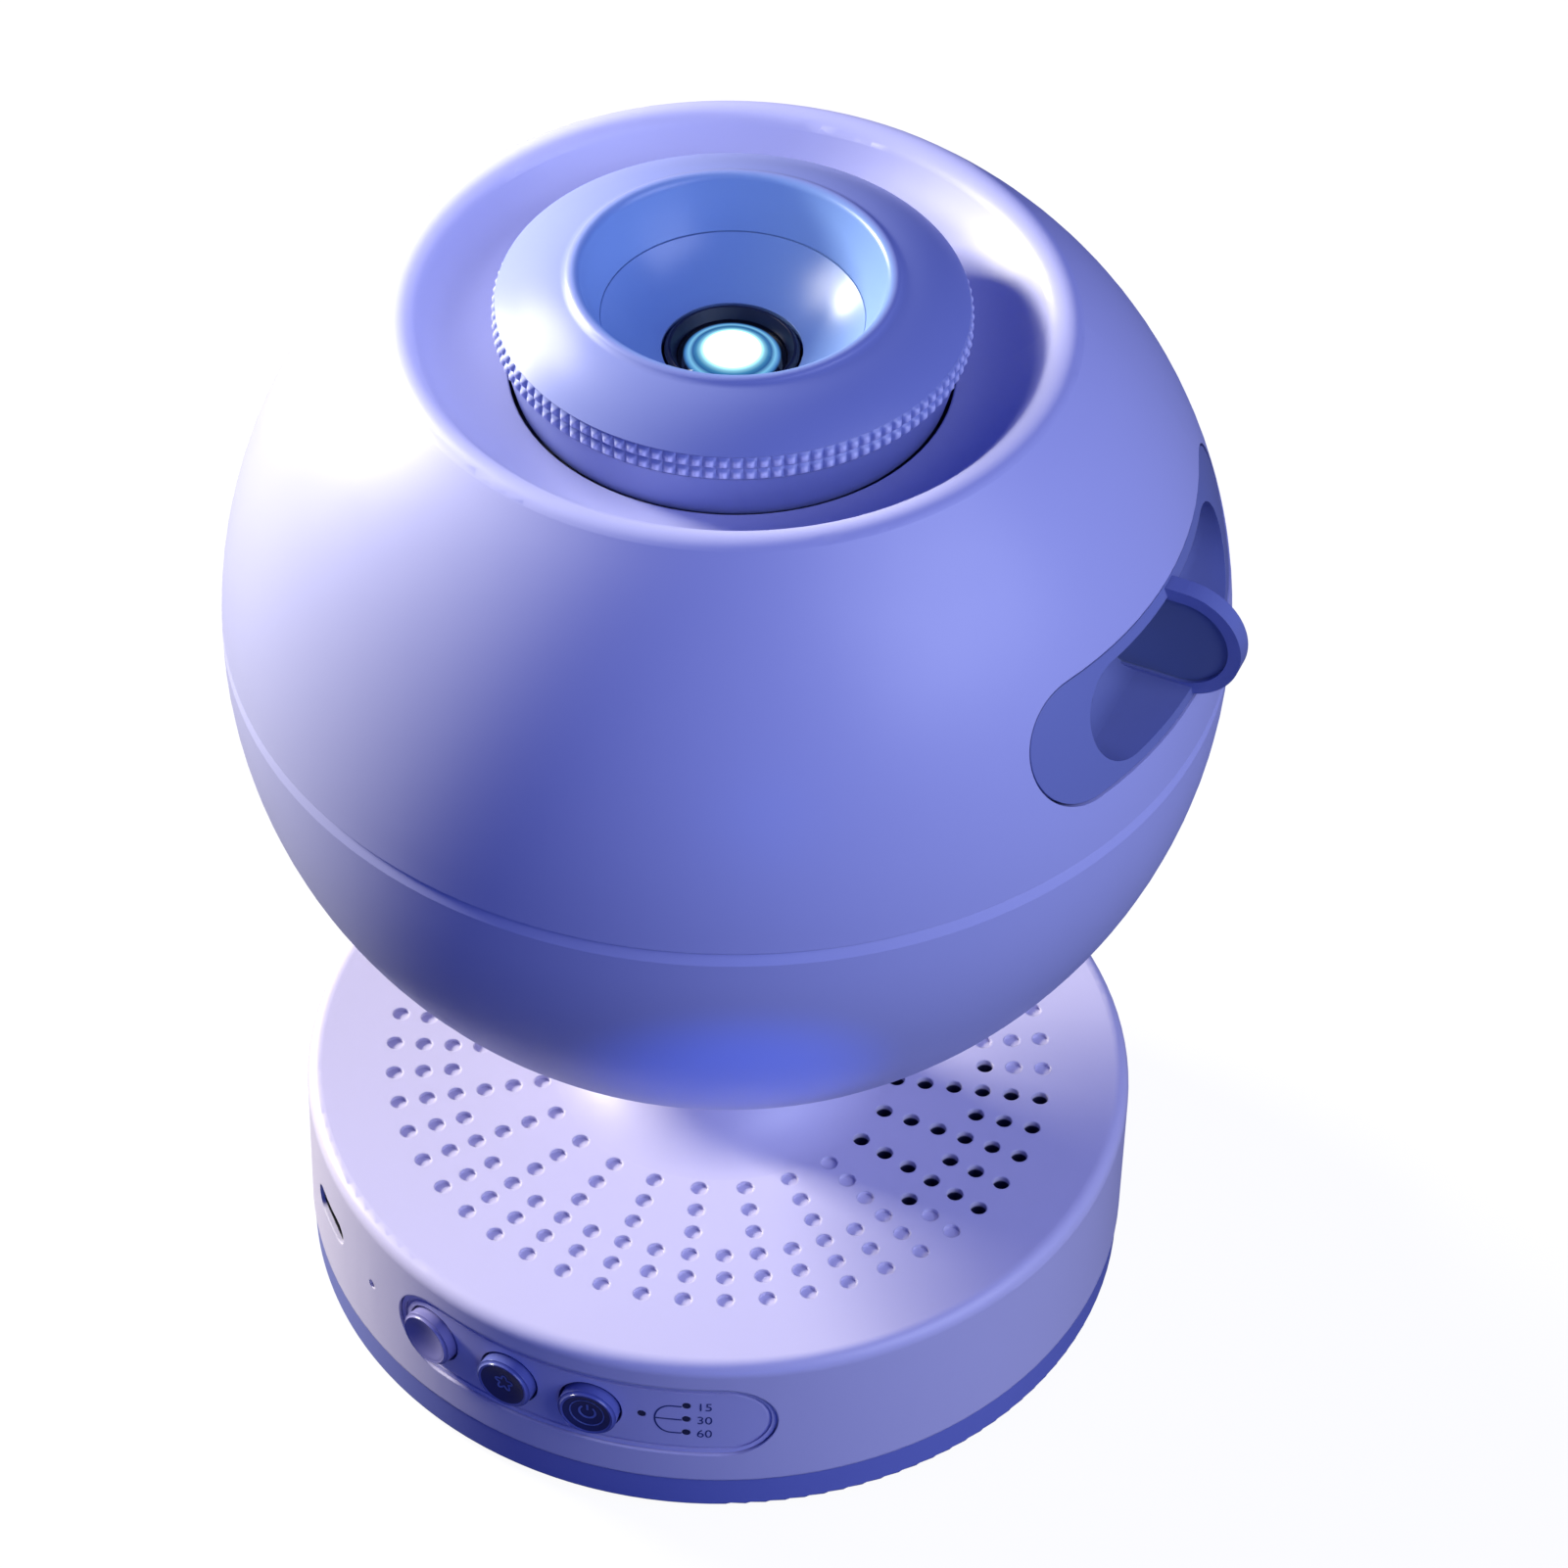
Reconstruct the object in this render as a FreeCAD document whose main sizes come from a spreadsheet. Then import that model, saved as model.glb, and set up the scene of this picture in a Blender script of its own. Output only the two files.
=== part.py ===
import FreeCAD, Part
import math
import os
import re
import Sketcher

# Planetarium projector: a ball on a flared neck and a round base.
# Millimetres, +Z up, origin under the middle of the feet. Azimuths are degrees from the front (-Y),
# positive towards +X, so a feature drawn at the front is turned about +Z by its azimuth.

os.makedirs("parts", exist_ok=True)
doc = FreeCAD.newDocument("planetarium_projector")
sheet = doc.addObject("Spreadsheet::Sheet", "Sizes")

SIZES = [
    # ball
    ("ball_radius", 60.0, "outer radius of the ball"),
    ("ball_wall", 2.4, "wall of both half shells"),
    ("seam_rise", 1.5, "parting line above the ball's centre"),
    ("seam_chamfer", 0.45, "chamfer on each side of the parting line"),
    ("tongue_height", 3.0, "tongue of the lower shell inside the upper one"),
    ("tongue_wall", 1.2, "wall of that tongue"),
    ("slip", 0.1, "clearance between pieces that slip together"),
    ("reveal", 0.3, "visible gap round the disc tray"),
    # crater in the top of the ball
    ("crater_radius", 37.7, "crest of the crater's lip"),
    ("lip_outside", 2.5, "crest to the start of the ball's curve"),
    ("lip_inside", 1.5, "crest to the start of the crater's wall"),
    ("lip_drop", 0.54, "inner end of the lip below its outer end"),
    ("lip_curve", 2.65, "radius over the lip"),
    ("crater_depth", 6.6, "inner end of the lip down to the crater's floor edge"),
    ("crater_curve", 14.6, "radius of the crater's hollow wall"),
    ("ring_gap", 0.5, "gap between the focus ring's skirt and the crater's floor"),
    ("crater_edge", 0.4, "rounding at the crater's floor edge"),
    ("lip_under_inset", 1.1, "underside of the lip inside its crest"),
    ("lip_under_drop", 3.5, "underside of the lip below the crater's top"),
    ("lip_under_width", 2.8, "width of the bevel under the lip"),
    # focus ring
    ("skirt_radius", 25.2, "skirt at its bottom"),
    ("skirt_flare", 1.5, "skirt's top wider than its bottom"),
    ("skirt_sink", 0.5, "skirt's bottom below the crater's floor edge"),
    ("skirt_rise", 6.6, "skirt's bottom to the knurled band"),
    ("knurl_radius", 27.5, "outer radius of the knurled band"),
    ("knurl_depth", 0.5, "groove under the band"),
    ("knurl_height", 3.2, "height of the band"),
    ("knurl_bevel", 0.25, "bevels of the band"),
    ("dome_rise", 4.3, "band's top to the mouth's crest"),
    ("dome_curve", 24.0, "radius of the domed top"),
    ("mouth_radius", 18.3, "crest of the bell's mouth"),
    ("mouth_lip", 0.9, "radius over the mouth's crest"),
    ("mouth_outer_drop", 0.3, "outer end of the mouth's lip below its crest"),
    ("mouth_inner_drop", 0.7, "inner end of the mouth's lip below its crest"),
    ("bell_curve", 30.0, "radius of the bell's upper wall"),
    ("bell_cone_curve", 18.0, "radius of the bell's lower wall"),
    ("bell_step_radius", 15.2, "ring line where the bell's cone begins"),
    ("bell_step_drop", 6.2, "mouth's crest to the ring line"),
    ("bell_wall", 1.3, "wall of the bell's cone and its sleeve"),
    ("bell_drop", 4.9, "ring line to the hole for the lens"),
    ("bell_collar", 1.4, "depth of the collar round the lens hole"),
    ("ring_wall", 1.6, "wall inside the focus ring"),
    ("knurl_ring_wall", 2.7, "wall behind the knurled band"),
    ("ring_ceiling_drop", 1.6, "roof of the ring's hollow below the band's top"),
    ("ring_ceiling_rise", 2.0, "roof of the hollow rises towards the mouth"),
    ("sleeve_lift", 1.0, "foot of the ring's inner wall above the skirt's foot"),
    ("cam_headroom", 3.0, "cam sleeve's top below the bell's cone"),
    # lens
    ("lens_radius", 6.3, "front lens"),
    ("bezel_radius", 7.8, "black bezel round the front lens"),
    ("bezel_gap", 0.35, "gap between the bezel and the bell"),
    ("bezel_rise", 3.3, "bezel above the barrel"),
    ("bezel_seat", 2.0, "bezel's thread inside the barrel"),
    ("lens_edge_drop", 1.5, "edge of the front lens below the bezel's top"),
    ("bezel_bevel", 0.8, "bevel inside the bezel"),
    ("small_bevel", 0.4, "bevel on small turned parts"),
    ("lens_seat_width", 1.6, "width of the rings that hold the rear lens"),
    ("lens_retainer_height", 1.2, "ring under the rear lens"),
    ("trap_height", 1.2, "thickness of the ring retainer over the cam's flange"),
    ("retainer_screw_inset", 3.0, "screws of the ring retainer from its edge"),
    ("front_lens_curve", 14.0, "radius of the front lens's face"),
    ("rear_lens_curve", 26.0, "radius of both rear lens faces"),
    ("rear_lens_edge", 2.6, "edge thickness of the rear lens"),
    ("barrel_radius", 10.9, "outside of the lens barrel"),
    ("barrel_wall", 1.9, "wall of the lens barrel"),
    ("barrel_length", 15.5, "length of the lens barrel"),
    ("barrel_top_drop", 0.5, "barrel's top below the crater's floor edge"),
    ("focus_travel", 1.5, "barrel's travel each way"),
    ("focus_turn", 45.0, "focus ring's turn each way"),
    ("pin_radius", 1.1, "guide pins of the lens barrel"),
    ("pin_height", 6.9, "guide pins below the barrel's top"),
    ("pin_clearance", 0.15, "clearance of the pins in their slots"),
    ("tube_wall", 1.6, "wall of the holder's tube round the barrel"),
    ("cam_wall", 2.2, "wall of the cam sleeve"),
    ("cam_flange", 2.1, "flange at the cam sleeve's foot"),
    ("cam_flange_height", 1.4, "its height"),
    ("holder_drop", 13.4, "crater's floor edge down to the holder's flange"),
    ("holder_plate", 2.0, "thickness of the holder's flange"),
    ("holder_radius", 36.0, "outer radius of the holder's flange"),
    ("holder_post_pitch", 32.5, "pitch radius of the posts that carry the holder"),
    ("holder_post_radius", 3.0, "radius of those posts"),
    ("holder_post_turn", 40.0, "angle of the posts from the tray's line"),
    ("retainer_radius", 24.0, "outer radius of the cam's retaining ring"),
    # disc tray
    ("tray_azimuth", 66.7, "direction in which the tray slides out"),
    ("slot_half_width", 28.6, "half width of the tray's slot in the ball"),
    ("slot_half_height", 7.95, "half height of that slot"),
    ("tray_drop", 4.8, "holder's flange down to the slot's middle"),
    ("face_recess", 0.15, "tray's face below the ball's surface"),
    ("face_wall", 2.2, "thickness of the tray's face"),
    ("scoop_half_width", 20.0, "half width of the finger scoops together"),
    ("scoop_half_height", 6.3, "half height of the finger scoops"),
    ("scoop_floor", 47.0, "bottom of the scoops from the ball's axis"),
    ("scoop_wall", 1.2, "wall round the scoops"),
    ("scoop_rounding", 5.0, "rounding at the scoops' bottom"),
    ("fin_thickness", 2.4, "pull fin"),
    ("fin_rim", 1.6, "thicker rim of the pull fin"),
    ("fin_web", 1.4, "thickness of the fin inside its rim"),
    ("fin_centre", 56.9, "middle of the fin's round edge from the ball's axis"),
    ("carrier_nose", 20.0, "half width of the carrier's nose"),
    ("carrier_shoulder", 40.0, "start of the carrier's nose from the ball's axis"),
    ("carrier_corner", 8.0, "cut corners of the carrier's tail"),
    ("lug_half_width", 19.0, "carrier's lug on the tray's back"),
    ("lug_half_height", 5.0, "carrier's lug on the tray's back"),
    ("notch_half_width", 5.0, "finger notches beside the disc"),
    ("notch_reach", 3.3, "finger notches beyond the disc's pocket"),
    ("clip_gap", 3.0, "half width of the gap in the clip ring"),
    ("carrier_half_width", 26.0, "half width of the disc carrier"),
    ("carrier_thickness", 3.0, "thickness of the disc carrier"),
    ("carrier_drop", 1.15, "slot's middle down to the carrier's middle"),
    ("carrier_tail", 47.0, "carrier's tail from the ball's axis"),
    ("carrier_clearance", 0.15, "clearance of the carrier in its guide"),
    ("carrier_lug", 1.5, "thickness of the carrier's front lug"),
    ("disc_radius", 22.0, "film disc"),
    ("disc_thickness", 1.2, "film disc"),
    ("disc_pocket_depth", 1.8, "pocket for the film disc"),
    ("disc_clearance", 0.2, "radial clearance of the disc in its pocket"),
    ("disc_window", 19.0, "hole under the film disc"),
    ("clip_width", 1.6, "width of the clip ring on the disc"),
    ("clip_thickness", 0.4, "thickness of the clip ring"),
    ("guide_wall", 3.0, "side walls of the tray's guide"),
    ("guide_floor", 1.8, "floor of the tray's guide"),
    ("guide_lip", 2.4, "rail over the carrier's edge"),
    ("guide_lip_height", 2.0, "height of that rail"),
    ("guide_front", 43.6, "guide's front end from the ball's axis"),
    ("guide_back", 42.0, "guide's back end from the ball's axis"),
    ("guide_window", 16.0, "hole for the light in the guide's floor"),
    ("guide_screw_turn", 63.2, "angle of the guide's screws from the tray's line"),
    # lamp
    ("lamp_radius", 19.0, "outside of the lamp housing"),
    ("lamp_wall", 2.0, "wall of the lamp housing"),
    ("lamp_length", 22.2, "length of the lamp housing"),
    ("lamp_flange_radius", 24.0, "flange at the top of the lamp housing"),
    ("lamp_flange_height", 1.6, "its height"),
    ("lamp_screw_inset", 2.4, "screws of the lamp housing from its flange's edge"),
    ("condenser_ring_width", 0.6, "ring over the condenser"),
    ("condenser_ring_height", 1.6, "ring over the condenser"),
    ("emitter_base", 0.8, "base of the LED wider than its dome"),
    ("emitter_base_height", 0.7, "height of that base"),
    ("condenser_seat", 11.6, "ledge under the condenser, above the housing's foot"),
    ("condenser_ledge", 1.5, "width and height of that ledge"),
    ("condenser_edge", 2.5, "edge thickness of the condenser lens"),
    ("condenser_curve", 24.0, "radius of the condenser's round face"),
    ("board_thickness", 1.6, "printed circuit boards"),
    ("lamp_board_radius", 14.0, "LED board"),
    ("emitter_radius", 3.2, "dome of the LED"),
    ("sink_plate", 4.0, "plate of the heat sink"),
    ("sink_radius", 20.0, "radius of the heat sink"),
    ("fin_length", 10.4, "fins of the heat sink"),
    ("sink_fin_thickness", 1.4, "thickness of those fins"),
    ("sink_fin_step", 4.6, "step from fin to fin"),
    ("sink_post_length", 14.8, "posts that carry the driver board"),
    ("sink_post_pitch", 14.0, "pitch radius of those posts"),
    ("driver_radius", 17.0, "driver board"),
    ("sink_post_wall", 1.4, "wall of the driver board's posts"),
    ("socket_half_length", 4.0, "plug socket of the lamp lead"),
    ("socket_half_width", 3.0, "plug socket of the lamp lead"),
    ("socket_height", 5.0, "plug socket of the lamp lead"),
    # neck joint
    ("pad_radius", 13.0, "flat under the ball where the neck meets it"),
    ("washer_thickness", 0.8, "thrust washer between ball and neck"),
    ("neck_radius", 12.0, "neck at its top"),
    ("neck_rise", 18.6, "base's top to the neck's top"),
    ("neck_draft", 0.5, "neck wider at the foot of its straight part"),
    ("neck_flare", 9.0, "radius of the flare into the base's top"),
    ("neck_bore", 9.6, "bore of the neck"),
    ("neck_cap", 2.6, "thickness under the spigot"),
    ("spigot_radius", 9.0, "spigot that the ball turns on"),
    ("spigot_bore", 5.6, "bore of the spigot"),
    ("swivel_clearance", 0.08, "running clearance round the spigot"),
    ("swivel_boss", 6.0, "height of the boss round the spigot"),
    ("friction_thickness", 0.6, "friction washer"),
    ("retainer_plate", 2.0, "thickness of the swivel retainer"),
    ("swivel_retainer_radius", 14.0, "radius of the swivel retainer"),
    ("stop_reach", 5.0, "stop lug beyond the retainer"),
    ("stop_width", 5.0, "width of the stop lug"),
    ("stop_post_pitch", 17.0, "stop post from the axis"),
    ("stop_post_width", 4.0, "width of the stop post"),
    ("stop_post_depth", 3.2, "depth of the stop post"),
    ("washer_inset", 0.4, "thrust washer inside the neck's edge"),
    # base
    ("foot_proud", 0.8, "feet below the cover"),
    ("foot_recess", 0.8, "feet let into the cover"),
    ("foot_radius", 6.0, "rubber feet"),
    ("foot_pitch", 38.0, "pitch radius of the feet"),
    ("base_radius", 52.6, "drum of the base"),
    ("base_rise", 26.4, "height of the base above its underside"),
    ("base_wall", 2.2, "wall and top of the base"),
    ("base_rounding", 1.8, "rounded top edge"),
    ("band_height", 5.3, "lower band of the cover"),
    ("band_step", 0.15, "band inside the drum's face"),
    ("band_taper", 0.1, "band's taper towards its foot"),
    ("band_rounding", 0.6, "rounding at the foot of the band"),
    ("cover_floor", 2.0, "floor of the cover"),
    ("cover_tongue_wall", 1.5, "tongue of the cover inside the drum"),
    ("cover_tongue_height", 2.0, "height of that tongue above the band"),
    ("cover_screw_sink", 2.2, "heads of the cover's screws sunk into it"),
    ("cover_screw_room", 0.3, "room round those heads"),
    ("cover_screw_length", 10.0, "shanks of the cover's screws"),
    ("post_pitch", 44.3, "pitch radius of the cover's screws"),
    ("post_radius", 3.2, "posts for the cover's screws"),
    # perforated top
    ("hole_radius", 1.05, "holes in the base's top"),
    ("hole_depth", 0.5, "depth of a blind hole"),
    ("outer_row", 41.5, "outermost row of holes"),
    ("row_step", 3.7, "step from row to row"),
    ("column_angle", 7.2, "step from column to column"),
    ("first_column", 1.93, "azimuth of the first column"),
    # speaker
    ("speaker_azimuth", 66.7, "direction of the speaker"),
    ("speaker_pitch", 32.3, "speaker from the base's axis"),
    ("speaker_radius", 14.0, "speaker frame"),
    ("speaker_flange", 1.0, "thickness of the frame's flange"),
    ("speaker_depth", 7.5, "frame's flange to the magnet"),
    ("magnet_radius", 7.5, "speaker magnet"),
    ("magnet_height", 4.0, "speaker magnet"),
    ("cone_radius", 11.4, "speaker cone"),
    ("rib_wall", 1.4, "rib round the speaker"),
    ("rib_height", 2.6, "height of that rib"),
    ("basket_wall", 1.0, "wall of the speaker's basket"),
    ("basket_drop", 2.0, "straight part of the basket under its flange"),
    ("speaker_vent", 2.8, "hole in the back of the basket"),
    ("cone_wall", 0.4, "thickness of the cone"),
    ("surround_width", 2.0, "rolled edge of the cone"),
    ("cap_radius", 4.0, "dust cap of the cone"),
    ("cap_rise", 1.2, "height of the dust cap"),
    ("cone_depth", 3.0, "depth of the cone"),
    # control panel
    ("panel_azimuth", -19.75, "middle of the control panel"),
    ("panel_half_width", 25.2, "half width of the panel, measured straight"),
    ("panel_half_height", 6.2, "half height of the panel"),
    ("panel_rise", 17.0, "middle of the panel above the table"),
    ("panel_depth", 1.4, "recess in the drum's wall"),
    ("panel_thickness", 1.0, "panel insert"),
    ("panel_gap", 0.15, "gap round the insert"),
    ("groove_inset", 0.8, "groove round the insert's face, inside its edge"),
    ("groove_width", 0.4, "width of that groove"),
    ("groove_depth", 0.3, "depth of that groove"),
    ("button_radius", 3.8, "push buttons"),
    ("button_gap", 0.3, "gap round a button"),
    ("button_proud", 1.2, "buttons above the drum's face"),
    ("button_shoulder", 0.5, "play between the button's flange and the wall"),
    ("button_edge", 0.5, "rounding of a button's edge"),
    ("button_dish", 0.5, "hollow in a button's face"),
    ("button_dish_radius", 3.1, "radius of that hollow"),
    ("button_flange", 0.9, "flange inside the wall, wider than the button"),
    ("button_flange_depth", 1.0, "its thickness"),
    ("button_travel", 0.6, "travel of a button"),
    ("power_azimuth", -16.8, "power button"),
    ("mode_azimuth", -29.0, "mode button"),
    ("timer_azimuth", -42.0, "timer button"),
    ("switch_depth", 2.6, "height of a tact switch"),
    ("switch_half", 3.0, "half width of a tact switch"),
    ("switch_stem", 1.5, "stem of a tact switch"),
    ("switch_stem_length", 0.9, "stem above the switch's case"),
    ("carrier_wall", 1.5, "switch carrier"),
    ("carrier_start", -50.0, "switch carrier's left end"),
    ("carrier_end", 2.0, "switch carrier's right end"),
    ("switch_board_half_height", 6.0, "half height of the switch carrier"),
    ("arm_half_width", 1.5, "arms that hold the switch carrier to the wall"),
    ("arm_height", 2.0, "thickness of those arms"),
    ("arm_inset", 2.5, "arms from the carrier's ends, in degrees"),
    ("led_half_width", 0.8, "LEDs behind the light pipes"),
    ("led_half_height", 0.5, "LEDs behind the light pipes"),
    ("led_depth", 0.8, "LEDs behind the light pipes"),
    ("light_radius", 0.5, "light pipes"),
    ("light_gap", 0.05, "gap round a light pipe"),
    ("pilot_azimuth", -9.6, "pilot light"),
    ("timer_light_azimuth", -3.5, "three timer lights"),
    ("timer_light_step", 2.5, "step from timer light to timer light"),
    ("usb_azimuth", -68.5, "USB socket"),
    ("usb_half_width", 4.6, "half width of the socket's opening"),
    ("usb_half_height", 1.75, "half height of the socket's opening"),
    ("usb_wall", 0.3, "sheet metal of the socket"),
    ("usb_depth", 7.4, "depth of the socket"),
    ("usb_outset", 1.6, "socket's mouth inside the wall's opening"),
    ("usb_blade_half_width", 3.2, "contact blade in the socket"),
    ("usb_blade_half_height", 0.35, "contact blade in the socket"),
    ("usb_blade_inset", 0.8, "contact blade behind the socket's mouth"),
    ("usb_leg_inside", 2.0, "inner edge of the socket's legs"),
    ("usb_leg_outside", 3.0, "outer edge of the socket's legs"),
    ("reset_azimuth", -54.9, "reset hole"),
    ("reset_radius", 0.6, "reset hole"),
    ("reset_drop", 0.7, "reset hole below the panel's middle"),
    # inside the base
    ("ballast_radius", 31.0, "ballast plate"),
    ("ballast_bore", 12.0, "hole in the ballast plate"),
    ("ballast_height", 3.0, "ballast plate"),
    ("battery_half_length", 22.0, "battery, half length along x"),
    ("battery_half_width", 17.0, "battery, half width along y"),
    ("battery_height", 6.5, "battery"),
    ("battery_corner", 3.0, "battery's rounded corners"),
    ("main_board_rise", 13.6, "underside of the main board"),
    ("main_board_radius", 39.0, "main board"),
    ("board_post_pitch", 35.0, "pitch radius of the main board's posts"),
    ("board_post_radius", 2.4, "those posts"),
    ("board_ear", 3.0, "board round each of its screws"),
    ("board_tongue", 7.0, "half width of the board's tongue to the socket"),
    ("board_tongue_gap", 1.2, "board's tongue to the drum's wall"),
    ("header_height", 4.0, "header of the lamp lead on the main board"),
    ("header_half_length", 4.0, "header of the lamp lead"),
    ("header_half_width", 3.0, "header of the lamp lead"),
    ("lead_gap", 0.3, "lamp lead to the socket that turns above it"),
    ("lead_radius", 1.5, "lamp lead"),
    # screws
    ("screw_shank", 1.0, "shank radius of the screws"),
    ("screw_head", 2.1, "head radius of the screws"),
    ("screw_head_height", 1.4, "head height of the screws"),
    ("thread_clearance", 0.05, "shank to pilot hole"),
    ("pilot_depth", 6.0, "pilot holes in posts"),
    ("foot_bevel", 0.4, "bevel at the foot of a rubber foot"),
]

for row, (alias, number, note) in enumerate(SIZES, start=1):
    sheet.set(f"A{row}", alias)
    sheet.set(f"B{row}", str(number))
    sheet.setAlias(f"B{row}", alias)
    sheet.set(f"C{row}", note)
doc.recompute()

ALIASES = {alias for alias, number, note in SIZES}

# ---------------------------------------------------------------- heights and radii worked out

FLOOR = "foot_proud"
BASE_TOP = f"({FLOOR} + base_rise)"
BAND_TOP = f"({FLOOR} + band_height)"
TOP_UNDERSIDE = f"({BASE_TOP} - base_wall)"
DRUM_BORE = "(base_radius - base_wall)"
NECK_TOP = f"({BASE_TOP} + neck_rise)"
PAD = f"({NECK_TOP} + washer_thickness)"
CENTRE = f"({PAD} + sqrt(ball_radius ^ 2 - pad_radius ^ 2))"
INNER_RADIUS = "(ball_radius - ball_wall)"
SEAM = f"({CENTRE} + seam_rise)"
SPIGOT_TOP = f"({PAD} + swivel_boss + friction_thickness)"
STOP_TOP = f"({SPIGOT_TOP} + retainer_plate)"

LIP_RADIUS = "(crater_radius + lip_outside)"
LIP = f"({CENTRE} + sqrt(ball_radius ^ 2 - {LIP_RADIUS} ^ 2))"
CRATER_TOP = f"({LIP} - lip_drop)"
CRATER_FLOOR = f"({CRATER_TOP} - crater_depth)"
CRATER_BORE = "(skirt_radius + ring_gap)"

SKIRT_BOTTOM = f"({CRATER_FLOOR} - skirt_sink)"
KNURL_BOTTOM = f"({SKIRT_BOTTOM} + skirt_rise)"
KNURL_TOP = f"({KNURL_BOTTOM} + knurl_height)"
MOUTH = f"({KNURL_TOP} + dome_rise)"
BELL_STEP = f"({MOUTH} - bell_step_drop)"
BELL_HOLE = "(bezel_radius + bezel_gap)"
BELL_FOOT = f"({BELL_STEP} - bell_drop)"
SLEEVE_RADIUS = "(bell_step_radius + bell_wall)"
SLEEVE_FOOT = f"({SKIRT_BOTTOM} + sleeve_lift)"

BARREL_TOP = f"({CRATER_FLOOR} - barrel_top_drop)"
BARREL_FOOT = f"({BARREL_TOP} - barrel_length)"
BARREL_BORE = "(barrel_radius - barrel_wall)"
BEZEL_TOP = f"({BARREL_TOP} + bezel_rise)"
PIN_LEVEL = f"({BARREL_TOP} - pin_height)"
TUBE_BORE = "(barrel_radius + slip)"
TUBE_RADIUS = f"({TUBE_BORE} + tube_wall)"
CAM_BORE = f"({TUBE_RADIUS} + slip)"
CAM_RADIUS = f"({CAM_BORE} + cam_wall)"
HOLDER_TOP = f"({CRATER_FLOOR} - holder_drop)"
HOLDER_FOOT = f"({HOLDER_TOP} - holder_plate)"
CAM_FOOT = f"({HOLDER_TOP} + 2 * slip)"
CAM_FLANGE_TOP = f"({CAM_FOOT} + cam_flange_height)"
CAM_TOP = f"({BELL_STEP} - bell_wall - cam_headroom)"

TRAY = f"({HOLDER_FOOT} - tray_drop)"
CARRIER_FOOT = f"({TRAY} - carrier_drop - carrier_thickness / 2)"
CARRIER_TOP = f"({CARRIER_FOOT} + carrier_thickness)"
GUIDE_CHANNEL = f"({CARRIER_FOOT} - carrier_clearance)"
GUIDE_FOOT = f"({GUIDE_CHANNEL} - guide_floor)"
GUIDE_SIDE = "(carrier_half_width + 2 * carrier_clearance)"
POCKET_FLOOR = f"({CARRIER_TOP} - disc_pocket_depth)"
POCKET_RADIUS = "(disc_radius + disc_clearance)"
SCOOP_BACK = "(scoop_floor - scoop_wall)"

LAMP_FOOT = f"({GUIDE_FOOT} - lamp_length)"
LAMP_BORE = "(lamp_radius - lamp_wall)"
CONDENSER_FOOT = f"({LAMP_FOOT} + condenser_seat)"
SINK_FOOT = f"({LAMP_FOOT} - sink_plate)"
DRIVER_TOP = f"({SINK_FOOT} - sink_post_length)"
DRIVER_FOOT = f"({DRIVER_TOP} - board_thickness)"

COVER_FLOOR_TOP = f"({FLOOR} + cover_floor)"
BALLAST_TOP = f"({COVER_FLOOR_TOP} + ballast_height)"
BOARD_TOP = "(main_board_rise + board_thickness)"
BUTTON_FACE = "(base_radius + button_proud)"
BUTTON_SHOULDER = f"({DRUM_BORE} - button_shoulder)"
BUTTON_BACK = f"({BUTTON_SHOULDER} - button_flange_depth)"
SWITCH_FACE = f"({BUTTON_BACK} - button_travel - slip)"
SWITCH_SEAT = f"({SWITCH_FACE} - switch_depth)"


# ---------------------------------------------------------------- drawing helpers

def rule(text):
    """Return an expression with every size written as the sheet's cell."""
    return re.sub(r"[a-z][a-z_]+", lambda word: "Sizes." + word[0] if word[0] in ALIASES else word[0], text)


def value(text):
    """Work an expression out from the sheet."""
    return float(sheet.evalExpression(rule(text)))


def bind(item, path, text):
    """Tie one property to the sheet."""
    item.setExpression(path, rule(text))


def origin_plane(body, role):
    """Find one of a body's own origin planes."""
    return [feature for feature in body.Origin.OriginFeatures if feature.Role == role][0]


def new_body(label):
    """Add an empty body."""
    body = doc.addObject("PartDesign::Body", "Body")
    body.Label = label
    return body


def sketch_on(body, role, level="0"):
    """Add a sketch on an origin plane, moved along the plane's normal by level."""
    sketch = body.newObject("Sketcher::SketchObject", "Sketch")
    sketch.AttachmentSupport = [(origin_plane(body, role), "")]
    sketch.MapMode = "FlatFace"
    sketch.AttachmentOffset = FreeCAD.Placement(FreeCAD.Vector(0, 0, value(level)), FreeCAD.Rotation())
    bind(sketch, "AttachmentOffset.Base.z", level)
    return sketch


def sketch_facing(body, azimuth, distance):
    """Add an upright sketch that faces an azimuth, at a distance from the axis."""
    sketch = body.newObject("Sketcher::SketchObject", "Sketch")
    sketch.AttachmentSupport = [(origin_plane(body, "XZ_Plane"), "")]
    sketch.MapMode = "FlatFace"
    upright = FreeCAD.Rotation(FreeCAD.Vector(0, 1, 0), 1)
    sketch.AttachmentOffset = FreeCAD.Placement(FreeCAD.Vector(1, 0, 1), upright)
    bind(sketch, "AttachmentOffset.Base.x", f"({distance}) * sin({azimuth})")
    bind(sketch, "AttachmentOffset.Base.z", f"({distance}) * cos({azimuth})")
    bind(sketch, "AttachmentOffset.Rotation.Angle", azimuth)
    return sketch


def constrain_point(sketch, geometry, point, x, y):
    """Fix a point of a sketch by two expressions."""
    for kind, axis, text in (("DistanceX", -2, x), ("DistanceY", -1, y)):
        if text == "0":
            sketch.addConstraint(Sketcher.Constraint("PointOnObject", geometry, point, axis))
            continue
        index = sketch.addConstraint(Sketcher.Constraint(kind, -1, 1, geometry, point, value(text)))
        bind(sketch, f"Constraints[{index}]", text)


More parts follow.
